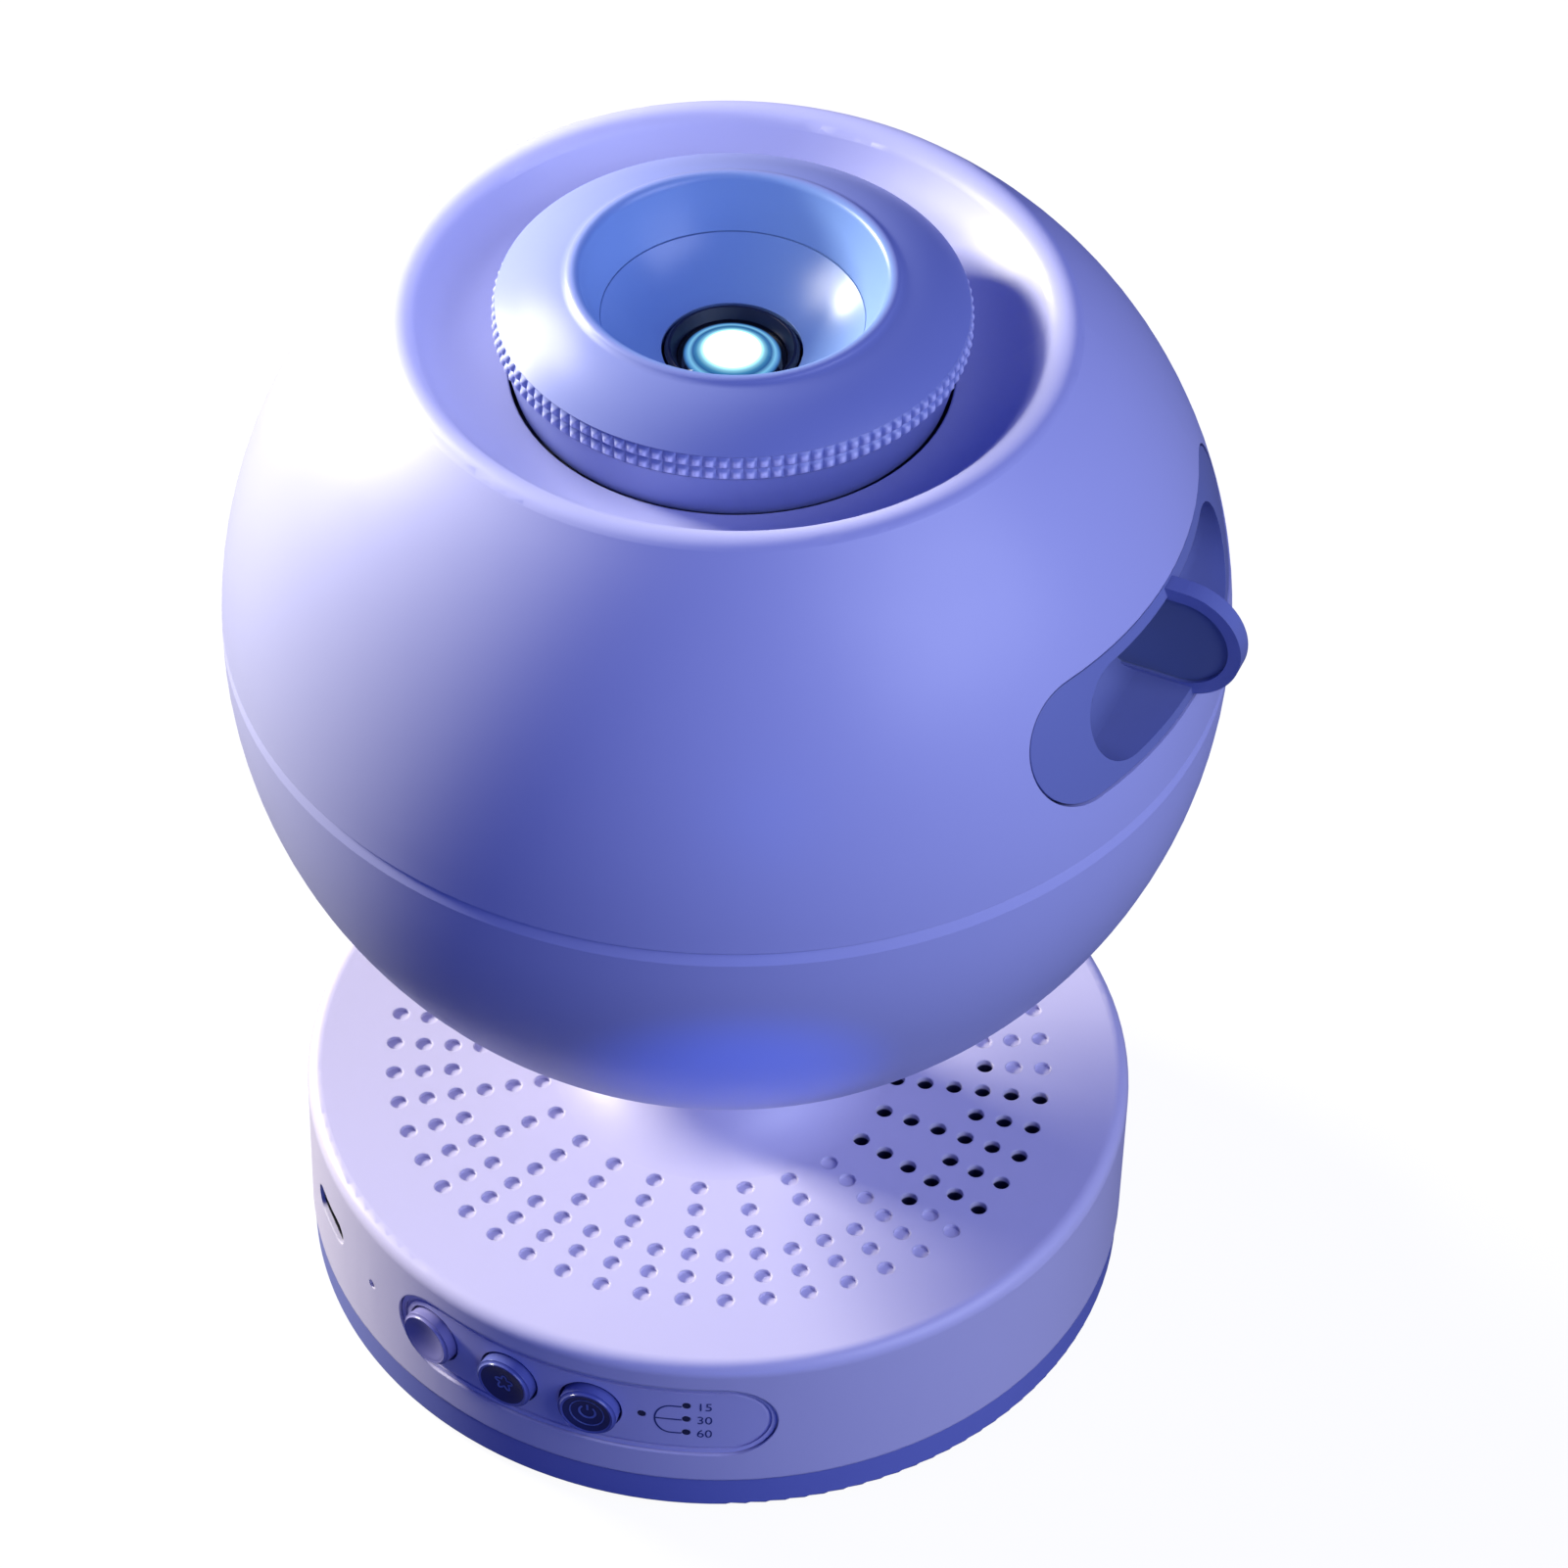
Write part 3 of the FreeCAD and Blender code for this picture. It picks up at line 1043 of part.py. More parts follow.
def base_inside():
    """Ballast, battery, main board and its parts, socket, and the lead through the neck."""
    plate = tube("ballast_plate", "ballast_bore", "ballast_radius", COVER_FLOOR_TOP, BALLAST_TOP)
    sub_part("ballast_plate", plate)

    top = f"({BALLAST_TOP} + battery_height)"
    corner = "battery_corner"
    x, y = "battery_half_length", "battery_half_width"
    sub_part("battery", slab("battery", [
        (f"{x} - {corner}", f"-{y}"),
        (x, f"{corner} - {y}", corner, 1),
        (x, f"{y} - {corner}"),
        (f"{x} - {corner}", y, corner, 1),
        (f"{corner} - {x}", y),
        (f"-{x}", f"{y} - {corner}", corner, 1),
        (f"-{x}", f"{corner} - {y}"),
        (f"{corner} - {x}", f"-{y}", corner, 1),
    ], BALLAST_TOP, f"{top} - {BALLAST_TOP}"))

    board = disc("board disc", "main_board_radius", "main_board_rise", BOARD_TOP)
    tongue_end = f"-({DRUM_BORE} - board_tongue_gap)"
    low = ("-board_tongue", tongue_end, "main_board_rise")
    high = ("board_tongue", "-main_board_radius / 2", BOARD_TOP)
    tongue = turned(block("board tongue", low, high), "usb_azimuth")
    ears = []
    for azimuth in FOOT_AZIMUTHS:
        ears.append(rod("board ear", "board_ear", "main_board_rise", "board_thickness",
                        "board_post_pitch", azimuth))
    notch = rod("speaker notch", "speaker_radius + rib_wall + 1", "main_board_rise - 1",
                "board_thickness + 2", "speaker_pitch", "speaker_azimuth")
    holes = [notch]
    for azimuth in FOOT_AZIMUTHS:
        hole = "screw_shank + thread_clearance"
        start = "main_board_rise - 1"
        holes.append(rod("board hole", hole, start, "board_thickness + 2", "board_post_pitch", azimuth))
    blank = fuse("board blank", [board, tongue, *ears])
    sub_part("main_board", cut("main_board", blank, [gather("board holes", holes)]))
    places = [("board_post_pitch", azimuth) for azimuth in FOOT_AZIMUTHS]
    screws("board_screws", places, BOARD_TOP, "board_thickness + pilot_depth - 1")

    low = ("-header_half_length", "-header_half_width", BOARD_TOP)
    high = ("header_half_length", "header_half_width", f"{BOARD_TOP} + header_height")
    chips = [block("lead header", low, high)]
    for name, x, y, width, depth, height in CHIPS:
        far = (f"{x + width}", f"{y + depth}", f"{BOARD_TOP} + {height}")
        chips.append(block(name, (f"{x}", f"{y}", BOARD_TOP), far))
    sub_part("board_parts", gather("board_parts", chips), len(chips))

    level = "panel_rise"
    mouth = f"({DRUM_BORE} + usb_outset)"
    start = f"({mouth} - usb_depth)"
    outline = stadium("usb_half_width", "usb_half_height", level)
    outer = upright("socket outside", outline, start, "usb_depth")
    inner_shape = stadium("usb_half_width - usb_wall", "usb_half_height - usb_wall", level)
    inner = upright("socket inside", inner_shape, f"{start} + 1", "usb_depth")
    low = ("-usb_blade_half_width", f"-({mouth} - usb_blade_inset)", f"{level} - usb_blade_half_height")
    high = ("usb_blade_half_width", f"-{start}", f"{level} + usb_blade_half_height")
    blade = block("socket blade", low, high)
    shell = cut("socket shell", outer, [inner])
    legs = []
    sides = (("-usb_leg_outside", "-usb_leg_inside"), ("usb_leg_inside", "usb_leg_outside"))
    for x_low, x_high in sides:
        low = (x_low, f"-({DRUM_BORE} - board_tongue_gap - slip)", BOARD_TOP)
        high = (x_high, f"-({start} + slip)", f"{level} - usb_half_height + usb_wall / 2")
        legs.append(block("socket leg", low, high))
    socket = fuse("socket", [shell, blade] + legs)
    sub_part("usb_socket", turned(socket, "usb_azimuth"))

    lead_foot = f"({BOARD_TOP} + header_height)"
    lead_top = f"({DRIVER_FOOT} - socket_height - lead_gap)"
    sub_part("lamp_lead", rod("lamp_lead", "lead_radius", lead_foot, f"{lead_top} - {lead_foot}"))


def speaker():
    """Speaker under the open holes: frame, cone with its surround, and magnet."""
    top = f"({TOP_UNDERSIDE} - slip)"
    flange = f"({top} - speaker_flange)"
    back = f"({top} - speaker_depth)"
    inside = "(cone_radius + basket_wall / 2)"
    frame = lathe("frame", [
        ("speaker_radius", flange),
        ("speaker_radius", top),
        (inside, top),
        (inside, f"{flange} - basket_drop + basket_wall"),
        ("magnet_radius - basket_wall / 2", f"{back} + basket_wall"),
        ("speaker_vent", f"{back} + basket_wall"),
        ("speaker_vent", back),
        ("magnet_radius + basket_wall / 2", back),
        (f"{inside} + basket_wall", f"{flange} - basket_drop"),
        (f"{inside} + basket_wall", flange),
    ])
    sub_part("speaker_frame", moved(frame, "speaker_pitch", "speaker_azimuth"))
    rim = f"({top} - surround_width / 2 - 2 * slip)"
    edge = f"({inside} - slip)"
    roll = f"({edge} - surround_width)"
    cap = f"({rim} - cone_depth)"
    cap_curve = "(cap_radius ^ 2 / (2 * cap_rise) + cap_rise / 2)"
    cone = lathe("cone", [
        (edge, f"{rim} - cone_wall"),
        (edge, rim),
        (roll, rim, "surround_width / 2 + slip / 2", 1),
        ("cap_radius", cap),
        ("0", f"{cap} + cap_rise", cap_curve, 1),
        ("0", f"{cap} + cap_rise - cone_wall"),
        ("cap_radius", f"{cap} - cone_wall", cap_curve, -1),
        (f"{roll} + cone_wall / 2", f"{rim} - cone_wall"),
    ])
    sub_part("speaker_cone", moved(cone, "speaker_pitch", "speaker_azimuth"))
    magnet = disc("magnet", "magnet_radius", f"{back} - magnet_height", back)
    sub_part("speaker_magnet", moved(magnet, "speaker_pitch", "speaker_azimuth"))


# ---------------------------------------------------------------- neck joint

def neck_joint():
    """Washers and the retainer that hold the ball on the spigot."""
    bore = "spigot_radius + slip"
    sub_part("thrust_washer", tube("thrust_washer", bore, "neck_radius - washer_inset", NECK_TOP, PAD))
    boss_top = f"({PAD} + swivel_boss)"
    edge = "pad_radius - washer_inset"
    sub_part("friction_washer", tube("friction_washer", bore, edge, boss_top, SPIGOT_TOP))
    plate = tube("retainer plate", "spigot_bore", "swivel_retainer_radius", SPIGOT_TOP, STOP_TOP)
    low = ("-stop_width / 2", "swivel_retainer_radius - 2", SPIGOT_TOP)
    high = ("stop_width / 2", "swivel_retainer_radius + stop_reach", STOP_TOP)
    lug = block("stop lug", low, high)
    middle = "(spigot_radius + spigot_bore) / 2"
    holes = []
    for azimuth in SWIVEL_SCREW_AZIMUTHS:
        shank = "screw_shank + thread_clearance"
        holes.append(rod("hole", shank, f"{SPIGOT_TOP} - 1", "retainer_plate + 2", middle, azimuth))
    blank = fuse("retainer blank", [plate, lug])
    sub_part("swivel_retainer", cut("swivel_retainer", blank, [gather("retainer holes", holes)]))
    length = "retainer_plate + pilot_depth - 1"
    screws("swivel_screws", [(middle, azimuth) for azimuth in SWIVEL_SCREW_AZIMUTHS], STOP_TOP, length)


# ---------------------------------------------------------------- ball

def lower_shell():
    """Lower part of the ball with its tongue, the boss on the spigot and the stop post."""
    tongue = f"(sqrt({INNER_RADIUS} ^ 2 - (seam_rise + tongue_height) ^ 2) - slip)"
    boss_top = f"({PAD} + swivel_boss)"
    bore = "(spigot_radius + swivel_clearance)"
    inside = f"({CENTRE} - sqrt({INNER_RADIUS} ^ 2 - pad_radius ^ 2))"
    shoulder = f"{tongue} - tongue_wall"
    depth = f"({CENTRE} - sqrt({INNER_RADIUS} ^ 2 - ({shoulder}) ^ 2))"
    shell = lathe("lower shell body", [
        ("pad_radius", PAD),
        ("ball_radius", CENTRE, "ball_radius", 1),
        ("ball_radius - seam_chamfer", SEAM),
        (tongue, SEAM),
        (tongue, f"{SEAM} + tongue_height"),
        (shoulder, f"{SEAM} + tongue_height"),
        (shoulder, depth),
        ("pad_radius", inside, INNER_RADIUS, -1),
        ("pad_radius", boss_top),
        (bore, boss_top),
        (bore, PAD),
    ])
    near = "stop_post_pitch - stop_post_depth / 2"
    far = "stop_post_pitch + stop_post_depth / 2"
    foot = f"{CENTRE} - sqrt(({INNER_RADIUS} + ball_wall / 2) ^ 2 - ({near}) ^ 2)"
    low = ("-stop_post_width / 2", f"-({far})", foot)
    high = ("stop_post_width / 2", f"-({near})", STOP_TOP)
    joined = fuse("lower shell joined", [shell, block("stop post", low, high)])
    sub_part("lower_shell", cut("lower_shell", joined, [tray_slot()]))


def tray_slot():
    """Slot for the disc tray, through whatever part of the ball it meets."""
    outline = stadium("slot_half_width", "slot_half_height", TRAY)
    slot = upright("tray slot", outline, "ball_radius / 3", "ball_radius")
    return turned(slot, "tray_azimuth")


def upper_shell():
    """Upper part of the ball with the crater, the tray's slot and posts for the lens holder."""
    wall_start = f"({CRATER_BORE} + crater_edge)"
    under_lip = "(crater_radius - lip_under_inset)"
    under_curve = "(crater_curve + ball_wall)"
    inside_radius = f"({under_lip} + lip_under_width)"
    inside = f"({CENTRE} + sqrt({INNER_RADIUS} ^ 2 - {inside_radius} ^ 2))"
    seam_inside = f"sqrt({INNER_RADIUS} ^ 2 - seam_rise ^ 2)"
    shell = lathe("upper shell body", [
        ("ball_radius - seam_chamfer", SEAM),
        ("sqrt(ball_radius ^ 2 - (seam_rise + seam_chamfer) ^ 2)", f"{SEAM} + seam_chamfer"),
        (LIP_RADIUS, LIP, "ball_radius", 1),
        ("crater_radius - lip_inside", CRATER_TOP, "lip_curve", 1),
        (wall_start, CRATER_FLOOR, "crater_curve", -1),
        (CRATER_BORE, f"{CRATER_FLOOR} - crater_edge", "crater_edge", 1),
        (CRATER_BORE, f"{CRATER_FLOOR} - ball_wall"),
        (under_lip, f"{CRATER_TOP} - lip_under_drop", under_curve, 1),
        (inside_radius, inside),
        (seam_inside, SEAM, INNER_RADIUS, -1),
    ])
    opened = cut("upper shell opened", shell, [tray_slot()])

    pieces = [opened]
    bores = []
    for pitch, azimuth in holder_places():
        reach = f"{CRATER_FLOOR} + crater_edge - {HOLDER_TOP}"
        pieces.append(rod("post", "holder_post_radius", HOLDER_TOP, reach, pitch, azimuth))
        shank = "screw_shank + thread_clearance"
        bores.append(rod("post bore", shank, HOLDER_TOP, "pilot_depth + 1", pitch, azimuth))
    joined = fuse("upper shell joined", pieces)
    sub_part("upper_shell", cut("upper_shell", joined, [gather("post bores", bores)]))


def holder_places():
    """List the four posts that carry the lens holder."""
    turns = ("holder_post_turn", "-holder_post_turn", "180 - holder_post_turn", "180 + holder_post_turn")
    return [("holder_post_pitch", f"(tray_azimuth + {turn})") for turn in turns]


# ---------------------------------------------------------------- focusing lens

PIN_AZIMUTHS = ("0", "120", "240")
RETAINER_AZIMUTHS = ("60", "180", "300")
RETAINER_PITCH = "(retainer_radius - retainer_screw_inset)"


def focus_ring():
    """Domed ring with the knurled band and the upper part of the bell."""
    skirt_top = "(skirt_radius + skirt_flare)"
    half_way = f"({SKIRT_BOTTOM} + {KNURL_BOTTOM} - knurl_depth) / 2"
    ceiling = f"({KNURL_TOP} - ring_ceiling_drop)"
    sub_part("focus_ring", lathe("focus_ring", [
        ("skirt_radius", SKIRT_BOTTOM),
        (skirt_top, f"{KNURL_BOTTOM} - knurl_depth"),
        ("knurl_radius - knurl_depth", KNURL_BOTTOM),
        ("knurl_radius", f"{KNURL_BOTTOM} + knurl_bevel"),
        ("knurl_radius", f"{KNURL_TOP} - knurl_bevel"),
        ("knurl_radius - knurl_bevel", f"{KNURL_TOP} + knurl_bevel"),
        ("mouth_radius + mouth_lip", f"{MOUTH} - mouth_outer_drop", "dome_curve", 1),
        ("mouth_radius - mouth_lip", f"{MOUTH} - mouth_inner_drop", "mouth_lip * 1.1", 1),
        ("bell_step_radius", f"{BELL_STEP} + slip", "bell_curve", -1),
        (SLEEVE_RADIUS, f"{BELL_STEP} + slip"),
        (SLEEVE_RADIUS, SLEEVE_FOOT),
        (f"{SLEEVE_RADIUS} + ring_wall", SLEEVE_FOOT),
        (f"{SLEEVE_RADIUS} + ring_wall", f"{ceiling} + ring_ceiling_rise"),
        ("knurl_radius - knurl_ring_wall", ceiling),
        ("skirt_radius + skirt_flare / 2 - ring_wall", half_way),
        ("skirt_radius - ring_wall", SKIRT_BOTTOM),
    ]))


def bell_cone():
    """Lower part of the bell, with the sleeve that fits over the cam and the collar round the lens."""
    slope_foot = f"({BELL_FOOT} - bell_wall)"
    sleeve_bore = f"({CAM_RADIUS} + slip / 2)"
    sub_part("bell_cone", lathe("bell_cone", [
        (BELL_HOLE, f"{BELL_FOOT} - bell_collar"),
        (f"{BELL_HOLE} + bell_wall", f"{BELL_FOOT} - bell_collar"),
        (f"{BELL_HOLE} + bell_wall", f"{slope_foot} + bell_wall / 2"),
        (sleeve_bore, f"{BELL_STEP} - 1.5 * bell_wall"),
        (sleeve_bore, SLEEVE_FOOT),
        (f"{SLEEVE_RADIUS} - slip / 2", SLEEVE_FOOT),
        (f"{SLEEVE_RADIUS} - slip / 2", BELL_STEP),
        ("bell_step_radius - slip", BELL_STEP),
        (BELL_HOLE, BELL_FOOT, "bell_cone_curve", -1),
    ]))


def cam_sleeve():
    """Sleeve with three helical slots, turning on the holder's tube and carrying the ring."""
    sleeve = lathe("cam blank", [
        (CAM_BORE, CAM_FOOT),
        (f"{CAM_RADIUS} + cam_flange", CAM_FOOT),
        (f"{CAM_RADIUS} + cam_flange", CAM_FLANGE_TOP),
        (CAM_RADIUS, CAM_FLANGE_TOP),
        (CAM_RADIUS, CAM_TOP),
        (CAM_BORE, CAM_TOP),
    ])
    half_gap = value("pin_radius + pin_clearance")
    rise = value("focus_travel") / value("focus_turn")
    middle_radius = value(f"{CAM_BORE} + cam_wall / 2")
    extra = math.degrees((half_gap + 0.2) / middle_radius)
    half_turn = value("focus_turn") + extra
    pitch = 360 * rise
    helix = Part.makeHelix(pitch, 2 * half_turn * rise, middle_radius)
    reach = value("cam_wall")
    corners = []
    for across, up in ((-reach, -half_gap), (reach, -half_gap), (reach, half_gap), (-reach, half_gap)):
        corners.append(FreeCAD.Vector(middle_radius + across, 0, up))
    profile = Part.makePolygon(corners + corners[:1])
    sweep = Part.Wire(helix.Edges).makePipeShell([profile], True, True)
    slots = []
    for azimuth in PIN_AZIMUTHS:
        slot = sweep.copy()
        slot.translate(FreeCAD.Vector(0, 0, value(PIN_LEVEL) - half_turn * rise))
        slot.rotate(FreeCAD.Vector(), FreeCAD.Vector(0, 0, 1), float(azimuth) - 90 - half_turn)
        slots.append(slot)
    helical = doc.addObject("Part::Feature", "HelicalSlots")
    helical.Label = "helical slots"
    helical.Shape = Part.makeCompound(slots)
    sub_part("cam_sleeve", cut("cam_sleeve", sleeve, [helical]))


def lens_barrel():
    """Barrel with its pins, lenses, spacer, retainer and bezel."""
    throat = "(bezel_radius + slip / 2)"
    barrel = lathe("barrel blank", [
        (BARREL_BORE, BARREL_FOOT),
        ("barrel_radius", BARREL_FOOT),
        ("barrel_radius", f"{BARREL_TOP} - small_bevel"),
        ("barrel_radius - small_bevel", BARREL_TOP),
        (throat, BARREL_TOP),
        (throat, f"{BARREL_TOP} - bezel_seat - slip"),
        (BARREL_BORE, f"{BARREL_TOP} - bezel_seat - slip"),
    ])
    seats = []
    pins = []
    for azimuth in PIN_AZIMUTHS:
        radius = "pin_radius + slip / 10"
        seat = spoke("pin seat", radius, f"{BARREL_BORE} - 1", "barrel_wall + 2", PIN_LEVEL)
        seats.append(turned(seat, azimuth))
        start = f"({BARREL_BORE} + 2 * slip)"
        length = f"{CAM_RADIUS} - pin_clearance - {start}"
        pin = spoke("pin", "pin_radius", start, length, PIN_LEVEL)
        pins.append(turned(pin, azimuth))
    sub_part("lens_barrel", cut("lens_barrel", barrel, [gather("pin seats", seats)]))
    sub_part("guide_pins", gather("guide_pins", pins), len(pins))

    seat = f"({BARREL_TOP} - bezel_seat)"
    sub_part("lens_bezel", lathe("lens_bezel", [
        ("lens_radius + slip", seat),
        ("bezel_radius", seat),
        ("bezel_radius", f"{BEZEL_TOP} - small_bevel"),
        ("bezel_radius - small_bevel", BEZEL_TOP),
        ("lens_radius + bezel_bevel", BEZEL_TOP),
        ("lens_radius + slip", f"{BEZEL_TOP} - lens_edge_drop + 2 * slip"),
    ]))
    edge = f"({BEZEL_TOP} - lens_edge_drop)"
    crown = f"({edge} + front_lens_curve - sqrt(front_lens_curve ^ 2 - lens_radius ^ 2))"
    sub_part("front_lens", lathe("front_lens", [
        ("lens_radius", f"{seat} + slip"),
        ("lens_radius", edge),
        ("0", crown, "front_lens_curve", 1),
        ("0", f"{seat} + slip"),
    ]))
    rear_radius = f"({BARREL_BORE} - slip / 2)"
    seat_bore = f"({BARREL_BORE} - lens_seat_width)"
    clear_radius = f"({seat_bore} - slip)"
    sag = f"(rear_lens_curve - sqrt(rear_lens_curve ^ 2 - {clear_radius} ^ 2))"
    retainer_top = f"({BARREL_FOOT} + lens_retainer_height)"
    rear_foot = f"({retainer_top} + slip)"
    rear_top = f"({rear_foot} + rear_lens_edge)"
    sub_part("rear_lens", lathe("rear_lens", [
        (rear_radius, rear_foot),
        (rear_radius, rear_top),
        (clear_radius, rear_top),
        ("0", f"{rear_top} + {sag}", "rear_lens_curve", 1),
        ("0", rear_foot),
    ]))
    sub_part("lens_retainer", tube("lens_retainer", seat_bore, rear_radius, BARREL_FOOT, retainer_top))
    spacer_top = f"({BARREL_TOP} - bezel_seat - 2 * slip)"
    sub_part("lens_spacer", tube("lens_spacer", seat_bore, rear_radius, f"{rear_top} + slip", spacer_top))


def lens_holder():
    """Plate under the crater with the keyed tube for the barrel, and the ring that traps the cam."""
    plate = lathe("holder blank", [
        (TUBE_BORE, HOLDER_FOOT),
        ("holder_radius", HOLDER_FOOT),
        ("holder_radius", HOLDER_TOP),
        (TUBE_RADIUS, HOLDER_TOP),
        (TUBE_RADIUS, BARREL_TOP),
        (TUBE_BORE, BARREL_TOP),
    ])
    holes = []
    half_slot = "pin_radius + pin_clearance"
    for azimuth in PIN_AZIMUTHS:
        low = (f"-({half_slot})", f"-({TUBE_RADIUS} + 1)",
               f"{PIN_LEVEL} - focus_travel - ({half_slot}) - slip")
        high = (f"{half_slot}", f"-({TUBE_BORE} - 1)",
                f"{PIN_LEVEL} + focus_travel + ({half_slot}) + slip")
        holes.append(turned(block("key slot", low, high), azimuth))
    shank = "screw_shank + thread_clearance"
    for pitch, azimuth in holder_places():
        holes.append(rod("hole", shank, f"{HOLDER_FOOT} - 1", "holder_plate + 2", pitch, azimuth))
    for azimuth in RETAINER_AZIMUTHS:
        holes.append(rod("hole", shank, f"{HOLDER_FOOT} - 1", "holder_plate + 2", RETAINER_PITCH, azimuth))
    for pitch, azimuth in guide_places():
        holes.append(rod("hole", shank, f"{HOLDER_FOOT} - 1", "holder_plate + 2", pitch, azimuth))
    sub_part("lens_holder", cut("lens_holder", plate, [gather("holder holes", holes)]))
    screws("holder_screws", holder_places(), HOLDER_FOOT, "holder_plate + pilot_depth", upward=True)

    trap = f"({CAM_FLANGE_TOP} + 2 * slip)"
    flange = f"({CAM_RADIUS} + cam_flange + 2 * slip)"
    blank = lathe("ring retainer blank", [
        (flange, HOLDER_TOP),
        ("retainer_radius", HOLDER_TOP),
        ("retainer_radius", f"{trap} + trap_height"),
        (f"{CAM_RADIUS} + 2 * slip", f"{trap} + trap_height"),
        (f"{CAM_RADIUS} + 2 * slip", trap),
        (flange, trap),
    ])
    bores = []
    for azimuth in RETAINER_AZIMUTHS:
        bores.append(rod("hole", shank, f"{HOLDER_TOP} - 1", "trap_height + 4", RETAINER_PITCH, azimuth))
    sub_part("ring_retainer", cut("ring_retainer", blank, [gather("retainer holes", bores)]))
    places = [(RETAINER_PITCH, azimuth) for azimuth in RETAINER_AZIMUTHS]
    top = f"({trap} + trap_height)"
    screws("retainer_screws", places, top, f"{top} - {HOLDER_FOOT} - 2 * slip")


# ---------------------------------------------------------------- disc tray

def guide_places():
    """List the four screws that hold the tray's guide under the lens holder."""
    pitch = f"(({GUIDE_SIDE} + guide_wall / 2) / sin(guide_screw_turn))"
    turns = ("guide_screw_turn", "-guide_screw_turn", "180 - guide_screw_turn", "180 + guide_screw_turn")
    return [(pitch, f"(tray_azimuth + {turn})") for turn in turns]


def tray_guide():
    """Channel under the lens holder in which the disc carrier slides."""
    outside = f"({GUIDE_SIDE} + guide_wall)"
    lip_foot = f"({CARRIER_TOP} + carrier_clearance)"
    body = upright("guide channel", [
        (outside, GUIDE_FOOT),
        (outside, HOLDER_FOOT),
        (GUIDE_SIDE, HOLDER_FOOT),
        (GUIDE_SIDE, f"{lip_foot} + guide_lip_height"),
        (f"{GUIDE_SIDE} - guide_lip", f"{lip_foot} + guide_lip_height"),
        (f"{GUIDE_SIDE} - guide_lip", lip_foot),
        (GUIDE_SIDE, lip_foot),
        (GUIDE_SIDE, GUIDE_CHANNEL),
        (f"-{GUIDE_SIDE}", GUIDE_CHANNEL),
        (f"-{GUIDE_SIDE}", lip_foot),
        (f"guide_lip - {GUIDE_SIDE}", lip_foot),
        (f"guide_lip - {GUIDE_SIDE}", f"{lip_foot} + guide_lip_height"),
        (f"-{GUIDE_SIDE}", f"{lip_foot} + guide_lip_height"),
        (f"-{GUIDE_SIDE}", HOLDER_FOOT),
        (f"-{outside}", HOLDER_FOOT),
        (f"-{outside}", GUIDE_FOOT),
    ], "-guide_back", "guide_back + guide_front")
    holes = [rod("light hole", "guide_window", f"{GUIDE_FOOT} - 1", "guide_floor + 2")]
    pitch = "(lamp_flange_radius - lamp_screw_inset)"
    shank = "screw_shank + thread_clearance"
    for turn in LAMP_AZIMUTHS:
        holes.append(rod("hole", shank, f"{GUIDE_FOOT} - 1", "guide_floor + 2", pitch, turn))
    channel = cut("guide opened", body, [gather("guide holes", holes)])
    placed = turned(channel, "tray_azimuth")
    bores = []
    for pitch, azimuth in guide_places():
        bores.append(rod("bore", shank, f"{HOLDER_FOOT} - pilot_depth", "pilot_depth + 1", pitch, azimuth))
    sub_part("tray_guide", cut("tray_guide", placed, [gather("guide bores", bores)]))
    screws("guide_screws", guide_places(), HOLDER_TOP, "holder_plate + pilot_depth - 1")


def tray_front():
    """Face of the tray: flush with the ball, with two finger scoops and the pull fin between them."""
    half_width, half_height = "slot_half_width - reveal", "slot_half_height - reveal"
    outline = stadium(half_width, half_height, TRAY)
    prism = upright("face prism", outline, "ball_radius / 2", "ball_radius")
    outer = "(ball_radius - face_recess)"
    skin = cut("face skin", ball("face outside", outer), [ball("face inside", f"{outer} - face_wall")])
    face = common("face", prism, skin)

    wide, tall = "scoop_half_width + scoop_wall", "scoop_half_height + scoop_wall"
    bucket = upright("bucket", stadium(wide, tall, TRAY), SCOOP_BACK, f"{outer} - 2 - {SCOOP_BACK}")
    bucket_inside = common("bucket inside the ball", bucket, ball("face limit", outer))
    cavity_body = new_body("scoop cavity")
    cavity_sketch = sketch_on(cavity_body, "XZ_Plane", "scoop_floor")
    draw_outline(cavity_sketch, stadium("scoop_half_width", "scoop_half_height", TRAY))
    cavity_pad = pad(cavity_body, cavity_sketch, "ball_radius - scoop_floor")
    doc.recompute()
    floor_y = -value("scoop_floor")
    rounded = cavity_body.newObject("PartDesign::Fillet", "Fillet")
    edges = []
    for number, edge in enumerate(cavity_pad.Shape.Edges, start=1):
        if abs(edge.BoundBox.YMin - floor_y) < 0.01 and abs(edge.BoundBox.YMax - floor_y) < 0.01:
            edges.append(f"Edge{number}")
    rounded.Base = (cavity_pad, edges)
    bind(rounded, "Radius", "min(scoop_rounding; scoop_half_height - 0.5)")
    shell = cut("scooped", fuse("face and bucket", [face, bucket_inside]), [cavity_body])

    root = "-(scoop_floor - scoop_wall / 2)"
    plate = fin_plate("fin plate", root, f"({tall})", "-fin_thickness / 2", "fin_thickness")
    inner, depth = f"({tall} - fin_rim)", "(fin_thickness - fin_web) / 2"
    hollows = [
        fin_plate("fin hollow", "-scoop_floor", inner, "fin_web / 2", f"{depth} + 1"),
        fin_plate("fin hollow", "-scoop_floor", inner, f"-fin_web / 2 - {depth} - 1", f"{depth} + 1"),
    ]
    fin = cut("fin", plate, hollows)
    sub_part("tray_front", turned(fuse("tray front joined", [shell, fin]), "tray_azimuth"))


